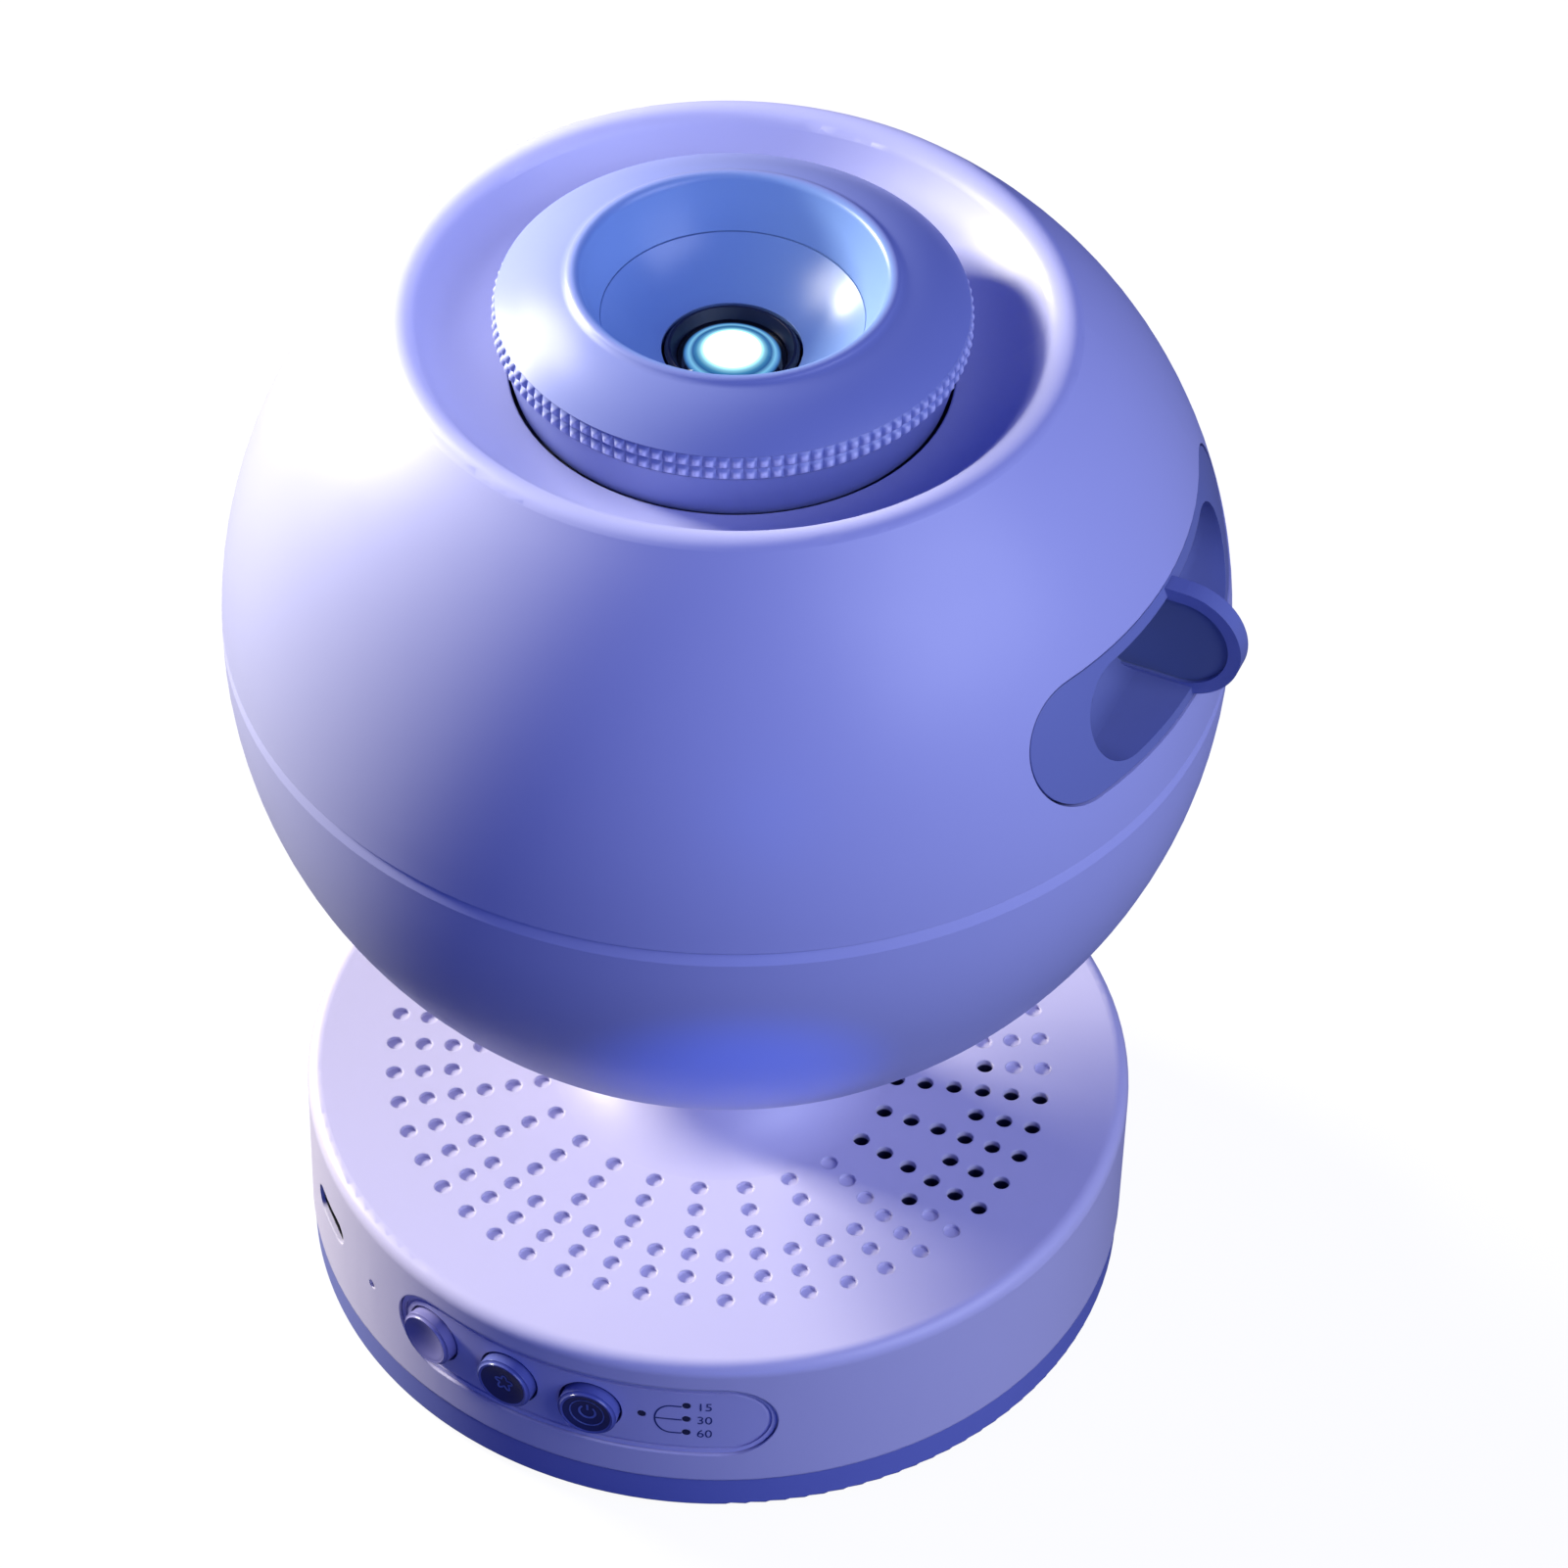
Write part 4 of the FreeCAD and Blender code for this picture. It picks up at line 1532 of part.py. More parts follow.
def fin_plate(label, root, edge, start, thickness):
    """Make a flat tongue with a round end, from its root outwards, as seen from the side."""
    low, high = f"{TRAY} - {edge}", f"{TRAY} + {edge}"
    return sideways(label, [
        (root, high),
        (root, low),
        ("-fin_centre", low),
        (f"-(fin_centre + {edge})", TRAY, edge, -1),
        ("-fin_centre", high, edge, -1),
    ], start, thickness)


def disc_carrier():
    """Plate that carries the film disc, the disc itself and the clip ring over it."""
    half, tail = "carrier_half_width", "carrier_tail"
    front = f"({SCOOP_BACK} - slip)"
    plate = slab("carrier plate", [
        ("carrier_nose", f"-{front}"),
        (half, "-carrier_shoulder"),
        (half, f"{tail} - carrier_corner"),
        (f"{half} - carrier_corner", tail),
        (f"carrier_corner - {half}", tail),
        (f"-{half}", f"{tail} - carrier_corner"),
        (f"-{half}", "-carrier_shoulder"),
        ("-carrier_nose", f"-{front}"),
    ], CARRIER_FOOT, "carrier_thickness")
    low = ("-lug_half_width", f"-{front}", f"{TRAY} - lug_half_height")
    high = ("lug_half_width", f"-({front} - carrier_lug)", f"{TRAY} + lug_half_height")
    lug = block("carrier lug", low, high)
    joined = fuse("carrier joined", [plate, lug])
    notch = f"({POCKET_RADIUS} + notch_reach)"
    tools = [
        rod("disc pocket", POCKET_RADIUS, POCKET_FLOOR, "disc_pocket_depth + 1"),
        rod("disc window", "disc_window", f"{CARRIER_FOOT} - 1", "carrier_thickness + 2"),
        block("finger notch", ("-notch_half_width", f"-{notch}", POCKET_FLOOR),
              ("notch_half_width", notch, f"{CARRIER_TOP} + 1")),
    ]
    sub_part("disc_carrier", turned(cut("carrier cut", joined, tools), "tray_azimuth"))
    disc_top = f"({POCKET_FLOOR} + disc_thickness)"
    sub_part("film_disc", disc("film_disc", "disc_radius", POCKET_FLOOR, disc_top))
    clip_bore = "disc_radius - clip_width"
    clip = tube("clip blank", clip_bore, "disc_radius", disc_top, f"{disc_top} + clip_thickness")
    low = ("-clip_gap", "disc_window / 2", f"{disc_top} - 1")
    gap = block("clip gap", low, ("clip_gap", "disc_radius + 1", f"{disc_top} + 2"))
    sub_part("disc_clip", turned(cut("clip cut", clip, [gap]), "tray_azimuth"))


# ---------------------------------------------------------------- lamp

LAMP_AZIMUTHS = ("45", "135", "225", "315")
SINK_AZIMUTHS = ("0", "120", "240")


def lamp():
    """Lamp housing with the condenser, hung under the tray's guide, on the heat sink."""
    flange_foot = f"({GUIDE_FOOT} - lamp_flange_height)"
    blank = lathe("lamp blank", [
        ("lamp_radius", LAMP_FOOT),
        ("lamp_radius", flange_foot),
        ("lamp_flange_radius", flange_foot),
        ("lamp_flange_radius", GUIDE_FOOT),
        (LAMP_BORE, GUIDE_FOOT),
        (LAMP_BORE, CONDENSER_FOOT),
        (f"{LAMP_BORE} - condenser_ledge", CONDENSER_FOOT),
        (f"{LAMP_BORE} - condenser_ledge", f"{CONDENSER_FOOT} - condenser_ledge"),
        (LAMP_BORE, f"{CONDENSER_FOOT} - 2 * condenser_ledge"),
        (LAMP_BORE, LAMP_FOOT),
    ])
    pitch = "(lamp_flange_radius - lamp_screw_inset)"
    shank = "screw_shank + thread_clearance"
    holes = []
    places = []
    for turn in LAMP_AZIMUTHS:
        azimuth = f"(tray_azimuth + {turn})"
        places.append((pitch, azimuth))
        holes.append(rod("hole", shank, f"{flange_foot} - 1", "lamp_flange_height + 2", pitch, azimuth))
    sub_part("lamp_housing", cut("lamp_housing", blank, [gather("lamp holes", holes)]))
    screws("lamp_screws", places, flange_foot, "lamp_flange_height + guide_floor - slip", upward=True)

    lens_radius = f"({LAMP_BORE} - slip)"
    edge_top = f"({CONDENSER_FOOT} + condenser_edge)"
    sag = f"(condenser_curve - sqrt(condenser_curve ^ 2 - {lens_radius} ^ 2))"
    sub_part("condenser_lens", lathe("condenser_lens", [
        (lens_radius, CONDENSER_FOOT),
        (lens_radius, edge_top),
        ("0", f"{edge_top} + {sag}", "condenser_curve", 1),
        ("0", CONDENSER_FOOT),
    ]))
    ring_top = f"({edge_top} + condenser_ring_height)"
    sub_part("condenser_ring", lathe("condenser_ring", [
        (f"{lens_radius} - condenser_ring_width", f"{edge_top} + condenser_ring_width"),
        (lens_radius, edge_top),
        (lens_radius, ring_top),
        (f"{lens_radius} - condenser_ring_width", ring_top),
    ]))

    board_foot = LAMP_FOOT
    sub_part("lamp_board", disc("lamp_board", "lamp_board_radius", board_foot,
                                f"{board_foot} + board_thickness"))
    dome_foot = f"({board_foot} + board_thickness)"
    sub_part("lamp_emitter", lathe("lamp_emitter", [
        ("emitter_radius + emitter_base", dome_foot),
        ("emitter_radius + emitter_base", f"{dome_foot} + emitter_base_height"),
        ("emitter_radius", f"{dome_foot} + emitter_base_height"),
        ("0", f"{dome_foot} + emitter_base_height + emitter_radius", "emitter_radius", 1),
        ("0", dome_foot),
    ]))


def heat_sink():
    """Finned heat sink under the lamp, with posts for the driver board and its socket."""
    plate = disc("sink plate", "sink_radius", SINK_FOOT, LAMP_FOOT)
    pieces = [plate]
    for step in range(-3, 4):
        middle = f"{step} * sink_fin_step"
        half_length = f"sqrt((sink_radius - 1) ^ 2 - ({middle}) ^ 2)"
        low = (f"{middle} - sink_fin_thickness / 2", f"-{half_length}", f"{SINK_FOOT} - fin_length")
        high = (f"{middle} + sink_fin_thickness / 2", half_length, f"{SINK_FOOT} + 1")
        pieces.append(block("sink fin", low, high))
    bores = []
    places = []
    shank = "screw_shank + thread_clearance"
    for azimuth in SINK_AZIMUTHS:
        length = "sink_post_length + 1"
        radius = "screw_shank + sink_post_wall"
        pieces.append(rod("post", radius, DRIVER_TOP, length, "sink_post_pitch", azimuth))
        bores.append(rod("bore", shank, f"{DRIVER_TOP} - 1", "pilot_depth + 1", "sink_post_pitch", azimuth))
        places.append(("sink_post_pitch", azimuth))
    blank = fuse("sink blank", pieces)
    sub_part("heat_sink", cut("heat_sink", blank, [gather("sink bores", bores)]))

    board = disc("driver blank", "driver_radius", DRIVER_FOOT, DRIVER_TOP)
    holes = []
    for azimuth in SINK_AZIMUTHS:
        start, depth = f"{DRIVER_FOOT} - 1", "board_thickness + 2"
        holes.append(rod("hole", shank, start, depth, "sink_post_pitch", azimuth))
    sub_part("driver_board", cut("driver_board", board, [gather("driver holes", holes)]))
    screws("driver_screws", places, DRIVER_FOOT, "pilot_depth", upward=True)
    low = ("-socket_half_length", "-socket_half_width", f"{DRIVER_FOOT} - socket_height")
    high = ("socket_half_length", "socket_half_width", DRIVER_FOOT)
    sub_part("lead_socket", block("lead_socket", low, high))


# ---------------------------------------------------------------- build, check and write

base_housing()
control_panel()
buttons()
switches_and_lights()
base_cover()
base_inside()
speaker()
neck_joint()
lower_shell()
upper_shell()
focus_ring()
bell_cone()
cam_sleeve()
lens_barrel()
lens_holder()
tray_guide()
tray_front()
disc_carrier()
lamp()
heat_sink()
doc.recompute()

for item in doc.Objects:
    if "Invalid" in item.State or "Error" in item.State:
        raise RuntimeError(f"{item.Label} failed: {item.State}")
for label, (item, solids) in SUB_PARTS.items():
    shape = item.Shape
    if shape.isNull() or not shape.isValid():
        raise RuntimeError(f"{label} has no valid shape")
    if len(shape.Solids) != solids:
        raise RuntimeError(f"{label} holds {len(shape.Solids)} solids instead of {solids}")
for label, (item, solids) in SUB_PARTS.items():
    item.Shape.exportStep(f"parts/{label}.step")
print(f"wrote {len(SUB_PARTS)} sub-parts")
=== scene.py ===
import math
import bpy
import numpy as np
from mathutils import Matrix, Vector


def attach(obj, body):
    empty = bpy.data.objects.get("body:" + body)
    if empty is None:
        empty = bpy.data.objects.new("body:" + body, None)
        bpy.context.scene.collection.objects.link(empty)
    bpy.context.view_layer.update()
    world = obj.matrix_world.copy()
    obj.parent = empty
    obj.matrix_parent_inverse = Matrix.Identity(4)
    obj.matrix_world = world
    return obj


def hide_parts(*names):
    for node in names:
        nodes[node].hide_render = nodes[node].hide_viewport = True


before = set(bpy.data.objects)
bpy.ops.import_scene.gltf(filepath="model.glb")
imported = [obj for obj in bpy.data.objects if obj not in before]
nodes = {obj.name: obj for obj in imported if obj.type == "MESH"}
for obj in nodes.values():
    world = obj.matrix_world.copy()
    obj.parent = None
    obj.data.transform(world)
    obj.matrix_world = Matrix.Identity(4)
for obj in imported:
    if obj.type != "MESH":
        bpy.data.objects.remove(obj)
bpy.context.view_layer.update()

# ------------------------------------------------------------------ table and light
# A white table top in a bluish room: a small warm key lamp at the left and behind, a large pale
# one in front at the right, a faint blue one low in front, a glow over the crater and a blue spot
# under the ball. The camera looks down from in front.

MM = 0.001


def linear(code):
    """sRGB hex to linear: c / 12.92 for small c, else ((c + 0.055) / 1.055) to the power 2.4."""
    parts = np.array([int(code[i:i + 2], 16) for i in (1, 3, 5)]) / 255
    low, high = parts / 12.92, ((parts + 0.055) / 1.055) ** 2.4
    return (*np.where(parts <= 0.04045, low, high).tolist(), 1.0)


def node(tree, kind, inputs=None, **settings):
    """Add one node: settings are its own, and an input is given a value or linked to a socket."""
    made = tree.nodes.new(kind)
    for name, value in settings.items():
        setattr(made, name, value)
    for socket, value in (inputs or {}).items():
        if isinstance(value, bpy.types.NodeSocket):
            tree.links.new(value, made.inputs[socket])
        else:
            made.inputs[socket].default_value = value
    return made


def blank_material(name, constants):
    """New material with these constants on its shader: returns it, its node tree, the shader."""
    material = bpy.data.materials.new(name)
    material.use_nodes = True
    tree = material.node_tree
    shader = tree.nodes["Principled BSDF"]
    for socket, value in constants.items():
        shader.inputs[socket].default_value = value
    return material, tree, shader


camera_place = (0.0, -0.532109, 0.590211)
camera_right = (0.99977373, 0.00594513, 0.02042391)
camera_up = (-0.01881558, 0.69503665, 0.71872806)
camera_back = (-0.00992243, -0.71894973, 0.69499125)
camera_data = bpy.data.cameras.new("camera")
camera_data.sensor_width = 36.0
camera_data.lens = 138.68
camera_data.clip_start, camera_data.clip_end = 0.05, 20.0
camera = bpy.data.objects.new("camera", camera_data)
turn = Matrix((camera_right, camera_up, camera_back)).transposed()
camera.matrix_world = Matrix.Translation(camera_place) @ turn.to_4x4()
bpy.context.scene.collection.objects.link(camera)
bpy.context.scene.camera = camera
bpy.context.scene.view_settings.view_transform = "Standard"


def aimed(data, place, aim):
    """Put a lamp at a place in metres, turned to its aim."""
    made = bpy.data.objects.new(data.name, data)
    made.location = place
    made.rotation_euler = (Vector(aim) - Vector(place)).to_track_quat("-Z", "Y").to_euler()
    bpy.context.scene.collection.objects.link(made)
    return made


def lamp(name, place, aim, size, power, colour):
    """Square soft lamp with its size in metres and its power in watts."""
    data = bpy.data.lights.new(name, "AREA")
    data.shape, data.size = "SQUARE", size
    data.energy, data.color = power, linear(colour)[:3]
    return aimed(data, place, aim)


ball_centre = (0.0, 0.0, 0.105175)
base_front = (0.0, -0.03, 0.02)
lamp("key_lamp", (-0.82, 0.456, 0.45), ball_centre, 0.22, 19.5, "#FFF9E6")
lamp("fill_lamp", (0.75, -0.50, 0.62), ball_centre, 0.80, 7.9, "#D5DCFF")
lamp("low_lamp", (0.10, -0.70, 0.05), base_front, 0.15, 0.5, "#2A70FF")
# The projector's own light hangs over the crater as a glow, whose lamp the camera doesn't see.
crater_middle = (0.0, 0.0, 0.150)
glow = lamp("beam_glow", (-0.058, 0.022, 0.194), crater_middle, 0.03, 0.040, "#FCF8F0")
glow.visible_camera = False
# A narrow blue spot colours the ball from below.
accent = bpy.data.lights.new("accent_lamp", "SPOT")
accent.energy, accent.color = 2.2, linear("#2468FF")[:3]
accent.spot_size, accent.spot_blend = math.radians(6.5), 1.0
ball_underside = (0.002, -0.053, 0.080)
aimed(accent, (0.10, -0.40, 0.033), ball_underside)

room_colour, room_strength = "#3E58F8", 0.31
world = bpy.data.worlds.new("studio")
world.use_nodes = True
bpy.context.scene.world = world
sky = world.node_tree
sky.nodes.clear()
rays = node(sky, "ShaderNodeLightPath").outputs
seen = node(sky, "ShaderNodeMath", {0: rays["Is Camera Ray"], 1: rays["Is Transmission Ray"]},
            operation="ADD", use_clamp=True)
room = node(sky, "ShaderNodeBackground", {"Color": linear(room_colour), "Strength": room_strength})
plain = node(sky, "ShaderNodeBackground", {"Color": linear("#FFFFFF"), "Strength": 1.0})
mixed = node(sky, "ShaderNodeMixShader", {0: seen.outputs[0], 1: room.outputs[0],
                                          2: plain.outputs[0]})
node(sky, "ShaderNodeOutputWorld", {"Surface": mixed.outputs[0]})

# The table's laminate glows a little for the camera only, so that it reads as white as the room
# round it and still holds the projector's soft shadow.
floor_mesh = bpy.data.meshes.new("floor")
floor_mesh.from_pydata([(-4, -4, 0), (4, -4, 0), (4, 4, 0), (-4, 4, 0)], [], [(0, 1, 2, 3)])
floor = bpy.data.objects.new("floor", floor_mesh)
bpy.context.scene.collection.objects.link(floor)
table_white, tree, shader = blank_material("white laminate table", {
    "Base Color": linear("#47474F"), "Specular IOR Level": 0.2,
    "Emission Color": (1.0, 1.0, 1.0, 1.0)})
grain = node(tree, "ShaderNodeTexNoise", {"Scale": 9.0, "Detail": 4.0})
fine = node(tree, "ShaderNodeMapRange", {"Value": grain.outputs["Fac"], "To Min": 0.55,
                                         "To Max": 0.62})
tree.links.new(fine.outputs[0], shader.inputs["Roughness"])
rays = node(tree, "ShaderNodeLightPath").outputs
lift = node(tree, "ShaderNodeMath", {0: rays["Is Camera Ray"], 1: 0.95}, operation="MULTIPLY")
tree.links.new(lift.outputs[0], shader.inputs["Emission Strength"])
floor_mesh.materials.append(table_white)

# ------------------------------------------------------------------ base drum, cover and feet
# The drum and its darker cover are ABS, moulded with a fine spark-eroded skin.
# The cover's tongue slips into the drum and three screws hold it; four rubber feet are glued on.


def noise(tree, grain, detail):
    """Noise with grains of so many mm, fixed to the piece."""
    place = node(tree, "ShaderNodeTexCoord").outputs["Object"]
    return node(tree, "ShaderNodeTexNoise", {"Vector": place, "Scale": 1 / (grain * MM),
                                             "Detail": detail}).outputs["Fac"]


def ranged(tree, value, low, high):
    """A value from 0 to 1, mapped onto low to high."""
    return node(tree, "ShaderNodeMapRange", {"Value": value, "To Min": low,
                                             "To Max": high}).outputs[0]


def moulded(name, colour, roughness, grain=0.35, depth=0.003, cloud=0.03, edge=0.12):
    """Injection-moulded plastic. Noise of 30 mm dims the colour by up to cloud, noise of 6 mm
    varies the roughness by a tenth, noise of grain mm raises the skin by depth mm, and edges
    look rounded by edge mm."""
    material, tree, shader = blank_material(name, {"IOR": 1.53})
    level = ranged(tree, noise(tree, 30, 2.0), 1 - cloud, 1.0)
    shade = node(tree, "ShaderNodeHueSaturation", {"Color": linear(colour), "Value": level})
    tree.links.new(shade.outputs[0], shader.inputs["Base Color"])
    satin = ranged(tree, noise(tree, 6, 2.0), 0.9 * roughness, 1.1 * roughness)
    tree.links.new(satin, shader.inputs["Roughness"])
    rounded = node(tree, "ShaderNodeBevel", {"Radius": edge * MM}, samples=4)
    bump = node(tree, "ShaderNodeBump", {"Height": noise(tree, grain, 1.0),
                                         "Distance": depth * MM, "Normal": rounded.outputs[0]})
    tree.links.new(bump.outputs[0], shader.inputs["Normal"])
    return material


def dress(material, *names):
    """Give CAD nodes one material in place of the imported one."""
    for name in names:
        nodes[name].data.materials.clear()
        nodes[name].data.materials.append(material)


# The drum's skin is satin: broad soft highlights, no sharp reflections.
base_abs = moulded("satin lavender ABS, spark eroded", "#D4D0EA", 0.42, edge=0.3)


def fading(tree, value, near, far, inside, outside):
    """Smooth step of a length: inside up to near mm, outside from far mm on."""
    step = node(tree, "ShaderNodeMapRange", {"Value": value, "From Min": near * MM,
                                             "From Max": far * MM, "To Min": inside,
                                             "To Max": outside}, interpolation_type="SMOOTHSTEP")
    return step.outputs[0]


def axis_distance(tree):
    """Distance from the upright axis, as the length of (x, y, 0)."""
    place = node(tree, "ShaderNodeTexCoord").outputs["Object"]
    level = node(tree, "ShaderNodeVectorMath", {0: place, 1: (1.0, 1.0, 0.0)},
                 operation="MULTIPLY")
    reach = node(tree, "ShaderNodeVectorMath", {0: level.outputs[0]}, operation="LENGTH")
    return reach.outputs["Value"]


def tinted(material, mask, colour):
    """Give a material another base colour where the mask is 1."""
    tree = material.node_tree
    shader = tree.nodes["Principled BSDF"]
    before = shader.inputs["Base Color"].links[0].from_socket
    mix = node(tree, "ShaderNodeMix", {0: mask, 6: before, 7: linear(colour)}, data_type="RGBA")
    tree.links.new(mix.outputs[2], shader.inputs["Base Color"])


# Painted shade: inside the drum, within its wall and below its top, the colour is a dark navy, so
# the open holes of the grille look dark.
wall_inside, wall_outside = 44.0, 45.0
top_under, top_over = 26.2, 26.6
base_tree = base_abs.node_tree
core = fading(base_tree, axis_distance(base_tree), wall_inside, wall_outside, 1.0, 0.0)
place = node(base_tree, "ShaderNodeTexCoord").outputs["Object"]
level = node(base_tree, "ShaderNodeSeparateXYZ", {0: place}).outputs["Z"]
below = fading(base_tree, level, top_under, top_over, 1.0, 0.0)
hole_shade = node(base_tree, "ShaderNodeMath", {0: core, 1: below}, operation="MULTIPLY")
tinted(base_abs, hole_shade.outputs[0], "#272B4E")
# The cover is polished a little more and a shade bluer, so the foot of the base looks darker.
band_abs = moulded("semi-gloss blue-lavender ABS", "#7F88CE", 0.34)
# Soft black rubber, dull and slightly mottled.
black_rubber = moulded("moulded black rubber", "#1A1A1D", 0.85, grain=0.6, depth=0.02, cloud=0.2)
dress(base_abs, "base_housing")
dress(band_abs, "base_cover")
dress(black_rubber, "rubber_feet", "friction_washer")

# ------------------------------------------------------------------ control panel and its marks
# A curved ABS insert glued into the drum, its face pad printed in one dark ink: a bracket that
# joins the pilot light to the three timer lights, a line to each of them, and their minutes.

panel_face = 52.2 * MM
panel_rise = 17.0 * MM
light_rise = 2.5 * MM
ink_height = 0.03 * MM
panel_abs = moulded("satin periwinkle ABS panel", "#C6C4E8", 0.40)
dress(panel_abs, "control_panel")
ink = moulded("matt navy pad-print ink", "#3C4680", 0.6, grain=0.15, depth=0.002, cloud=0.1)


def make_piece(name, points, material, body, closed=False, sharp=35):
    """A piece from a grid of points, rows by columns by 3. Each row is a ring, quads join ring to
    ring, and the last joins the first if closed, or else both end rings are filled. Where the
    volume by the divergence theorem is negative, the faces are turned to look outward."""
    rows, columns = points.shape[:2]
    index = np.arange(rows * columns).reshape(rows, columns)
    low = index if closed else index[:-1]
    high = np.roll(index, -1, axis=0)[:len(low)]
    quads = np.stack([low, np.roll(low, -1, 1), np.roll(high, -1, 1), high], -1).reshape(-1, 4)
    flat = points.reshape(-1, 3)
    a, b, c, d = (flat[quads[:, k]] - flat.mean(0) for k in range(4))
    volume = np.sum(a * np.cross(b, c)) + np.sum(a * np.cross(c, d))
    step = 1 if volume > 0 else -1
    faces = quads[:, ::step].tolist()
    if not closed:
        faces += [index[0, ::-step].tolist(), index[-1, ::step].tolist()]
    mesh = bpy.data.meshes.new(name)
    mesh.from_pydata(flat.tolist(), [], faces)
    mesh.shade_smooth()
    mesh.set_sharp_from_angle(angle=math.radians(sharp))
    mesh.materials.append(material)
    return place_piece(name, mesh, body)


def place_piece(name, mesh, body):
    """Put a mesh into the scene as a piece that rides on a body."""
    piece = bpy.data.objects.new(name, mesh)
    bpy.context.scene.collection.objects.link(piece)
    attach(piece, body)
    return piece


def on_panel(across, up, out):
    """Points on the panel: arc length across from straight ahead, height from its middle, and
    distance out of its face. The angle is across over the face's radius."""
    angle = across / panel_face
    radius = panel_face + out
    return np.stack([radius * np.sin(angle), -radius * np.cos(angle), panel_rise + up], -1)


def ribbon(path, width):
    """Flat band along a path of (x, y): at each point half the width to both sides, square to the
    path's direction by central differences, as rings of four corners (x, y, side)."""
    along = np.gradient(path, axis=0)
    along /= np.linalg.norm(along, axis=1, keepdims=True)
    aside = np.stack([-along[:, 1], along[:, 0]], -1) * width / 2
    left, right = path + aside, path - aside
    low, high = np.zeros((len(path), 1)), np.ones((len(path), 1))
    return np.stack([np.hstack([left, low]), np.hstack([right, low]),
                     np.hstack([right, high]), np.hstack([left, high])], 1)


def print_band(name, path, width):
    """Ink along a path on the panel, in metres across and up."""
    band = ribbon(path, width)
    points = on_panel(band[..., 0], band[..., 1], band[..., 2] * ink_height)
    make_piece(name, points, ink, "base")


def arc_length(azimuth):
    """Arc on the panel's face from straight ahead to an azimuth in degrees."""
    return math.radians(azimuth) * panel_face


bracket_back, bracket_front = arc_length(-5.6), arc_length(-4.1)
corner = light_rise
turn_angles = np.linspace(math.pi / 2, 3 * math.pi / 2, 25)
bend = np.stack([bracket_back + 0.8 * corner * np.cos(turn_angles),
                 corner * np.sin(turn_angles)], -1)
straight = np.linspace(bracket_front, bracket_back, 8)[:-1]
upper = np.stack([straight, np.full_like(straight, corner)], -1)
print_band("bracket_print", np.vstack([upper, bend, (upper * (1, -1))[::-1]]), 0.22 * MM)
middle = np.linspace(bracket_back - 0.8 * corner, bracket_front, 12)
print_band("middle_line_print", np.stack([middle, np.zeros(12)], -1), 0.22 * MM)


def print_number(name, words, across, up, size):
    """A number as a mesh 0.03 mm thick, wrapped round the panel's face."""
    curve = bpy.data.curves.new(name, "FONT")
    curve.body, curve.size, curve.align_y = words, size, "CENTER"
    curve.extrude, curve.resolution_u = ink_height / 2, 6
    letters = bpy.data.objects.new(name, curve)
    mesh = bpy.data.meshes.new_from_object(letters)
    bpy.data.objects.remove(letters)
    flat = np.empty(3 * len(mesh.vertices))
    mesh.vertices.foreach_get("co", flat)
    flat = flat.reshape(-1, 3)
    wrapped = on_panel(across + flat[:, 0], up + flat[:, 1], flat[:, 2] + ink_height / 2)
    mesh.vertices.foreach_set("co", wrapped.ravel())
    mesh.update()
    mesh.materials.append(ink)
    place_piece(name, mesh, "base")


for level, minutes in ((1, "15"), (0, "30"), (-1, "60")):
    print_number(f"minutes_{minutes}", minutes, arc_length(-2.1), level * light_rise, 2.0 * MM)

# ------------------------------------------------------------------ push buttons
# Three moulded caps stand 1.2 mm out of the panel: two dark ones marked with a star and with the
# power sign, and a pale one. A dished face lies inside a bright rim; a flange holds each cap in.

button_face, button_foot = 53.8 * MM, 48.9 * MM
button_radius, flange_radius, flange_face = 3.8 * MM, 4.7 * MM, 49.9 * MM
dish_radius, dish_depth, rim_round = 3.1 * MM, 0.5 * MM, 0.4 * MM
flange_bevel, middle_radius, dish_sink = 0.15 * MM, 0.3 * MM, 0.08 * MM
shoulder_drop, shoulder_round = 0.1 * MM, 0.35 * MM
sign_sink = 2.2 * ink_height
cap_columns = 96
rim_cap = moulded("gloss slate-blue ABS cap", "#5F68AE", 0.24)
pale_cap = moulded("satin lavender ABS cap", "#8583BA", 0.34)
# Dark in-mould film lines the dish of the two dark caps, inside their lighter rims.
dish_film = moulded("gloss navy in-mould film", "#252D63", 0.2, cloud=0.08)
sign_ink = moulded("satin blue pad-print ink", "#6F80C4", 0.5, grain=0.15, depth=0.002, cloud=0.1)


def lathe(profile, columns, origin=(0, 0, 0), axes=np.eye(3)):
    """Rings of a turned form: each (r, h) of the profile gives the points
    origin + r cos(t) x + r sin(t) y + h z, with t evenly round a full turn."""
    angle = np.linspace(0, 2 * math.pi, columns, endpoint=False)
    radius, height = np.asarray(profile, float).T[:, :, None]
    local = np.stack(np.broadcast_arrays(radius * np.cos(angle), radius * np.sin(angle),
                                         height), -1)
    return np.asarray(origin) + local @ np.asarray(axes)


def bow(start, end, radius, count=7):
    """Points on a circular arc from start to end, bulging to the left of that direction, or to
    the right if the radius is negative; the first point is left out."""
    start, end = np.asarray(start, float), np.asarray(end, float)
    chord = end - start
    half = np.linalg.norm(chord) / 2
    square = np.array([-chord[1], chord[0]]) / (2 * half)
    side = math.copysign(1, radius)
    centre = (start + end) / 2 - side * square * math.sqrt(max(radius ** 2 - half ** 2, 0))
    sweep = -side * 2 * math.asin(min(half / abs(radius), 1))
    angle = np.linspace(0, sweep, count)[1:]
    arm = start - centre
    turned = np.stack([arm[0] * np.cos(angle) - arm[1] * np.sin(angle),
                       arm[0] * np.sin(angle) + arm[1] * np.cos(angle)], -1)
    return (centre + turned).tolist()


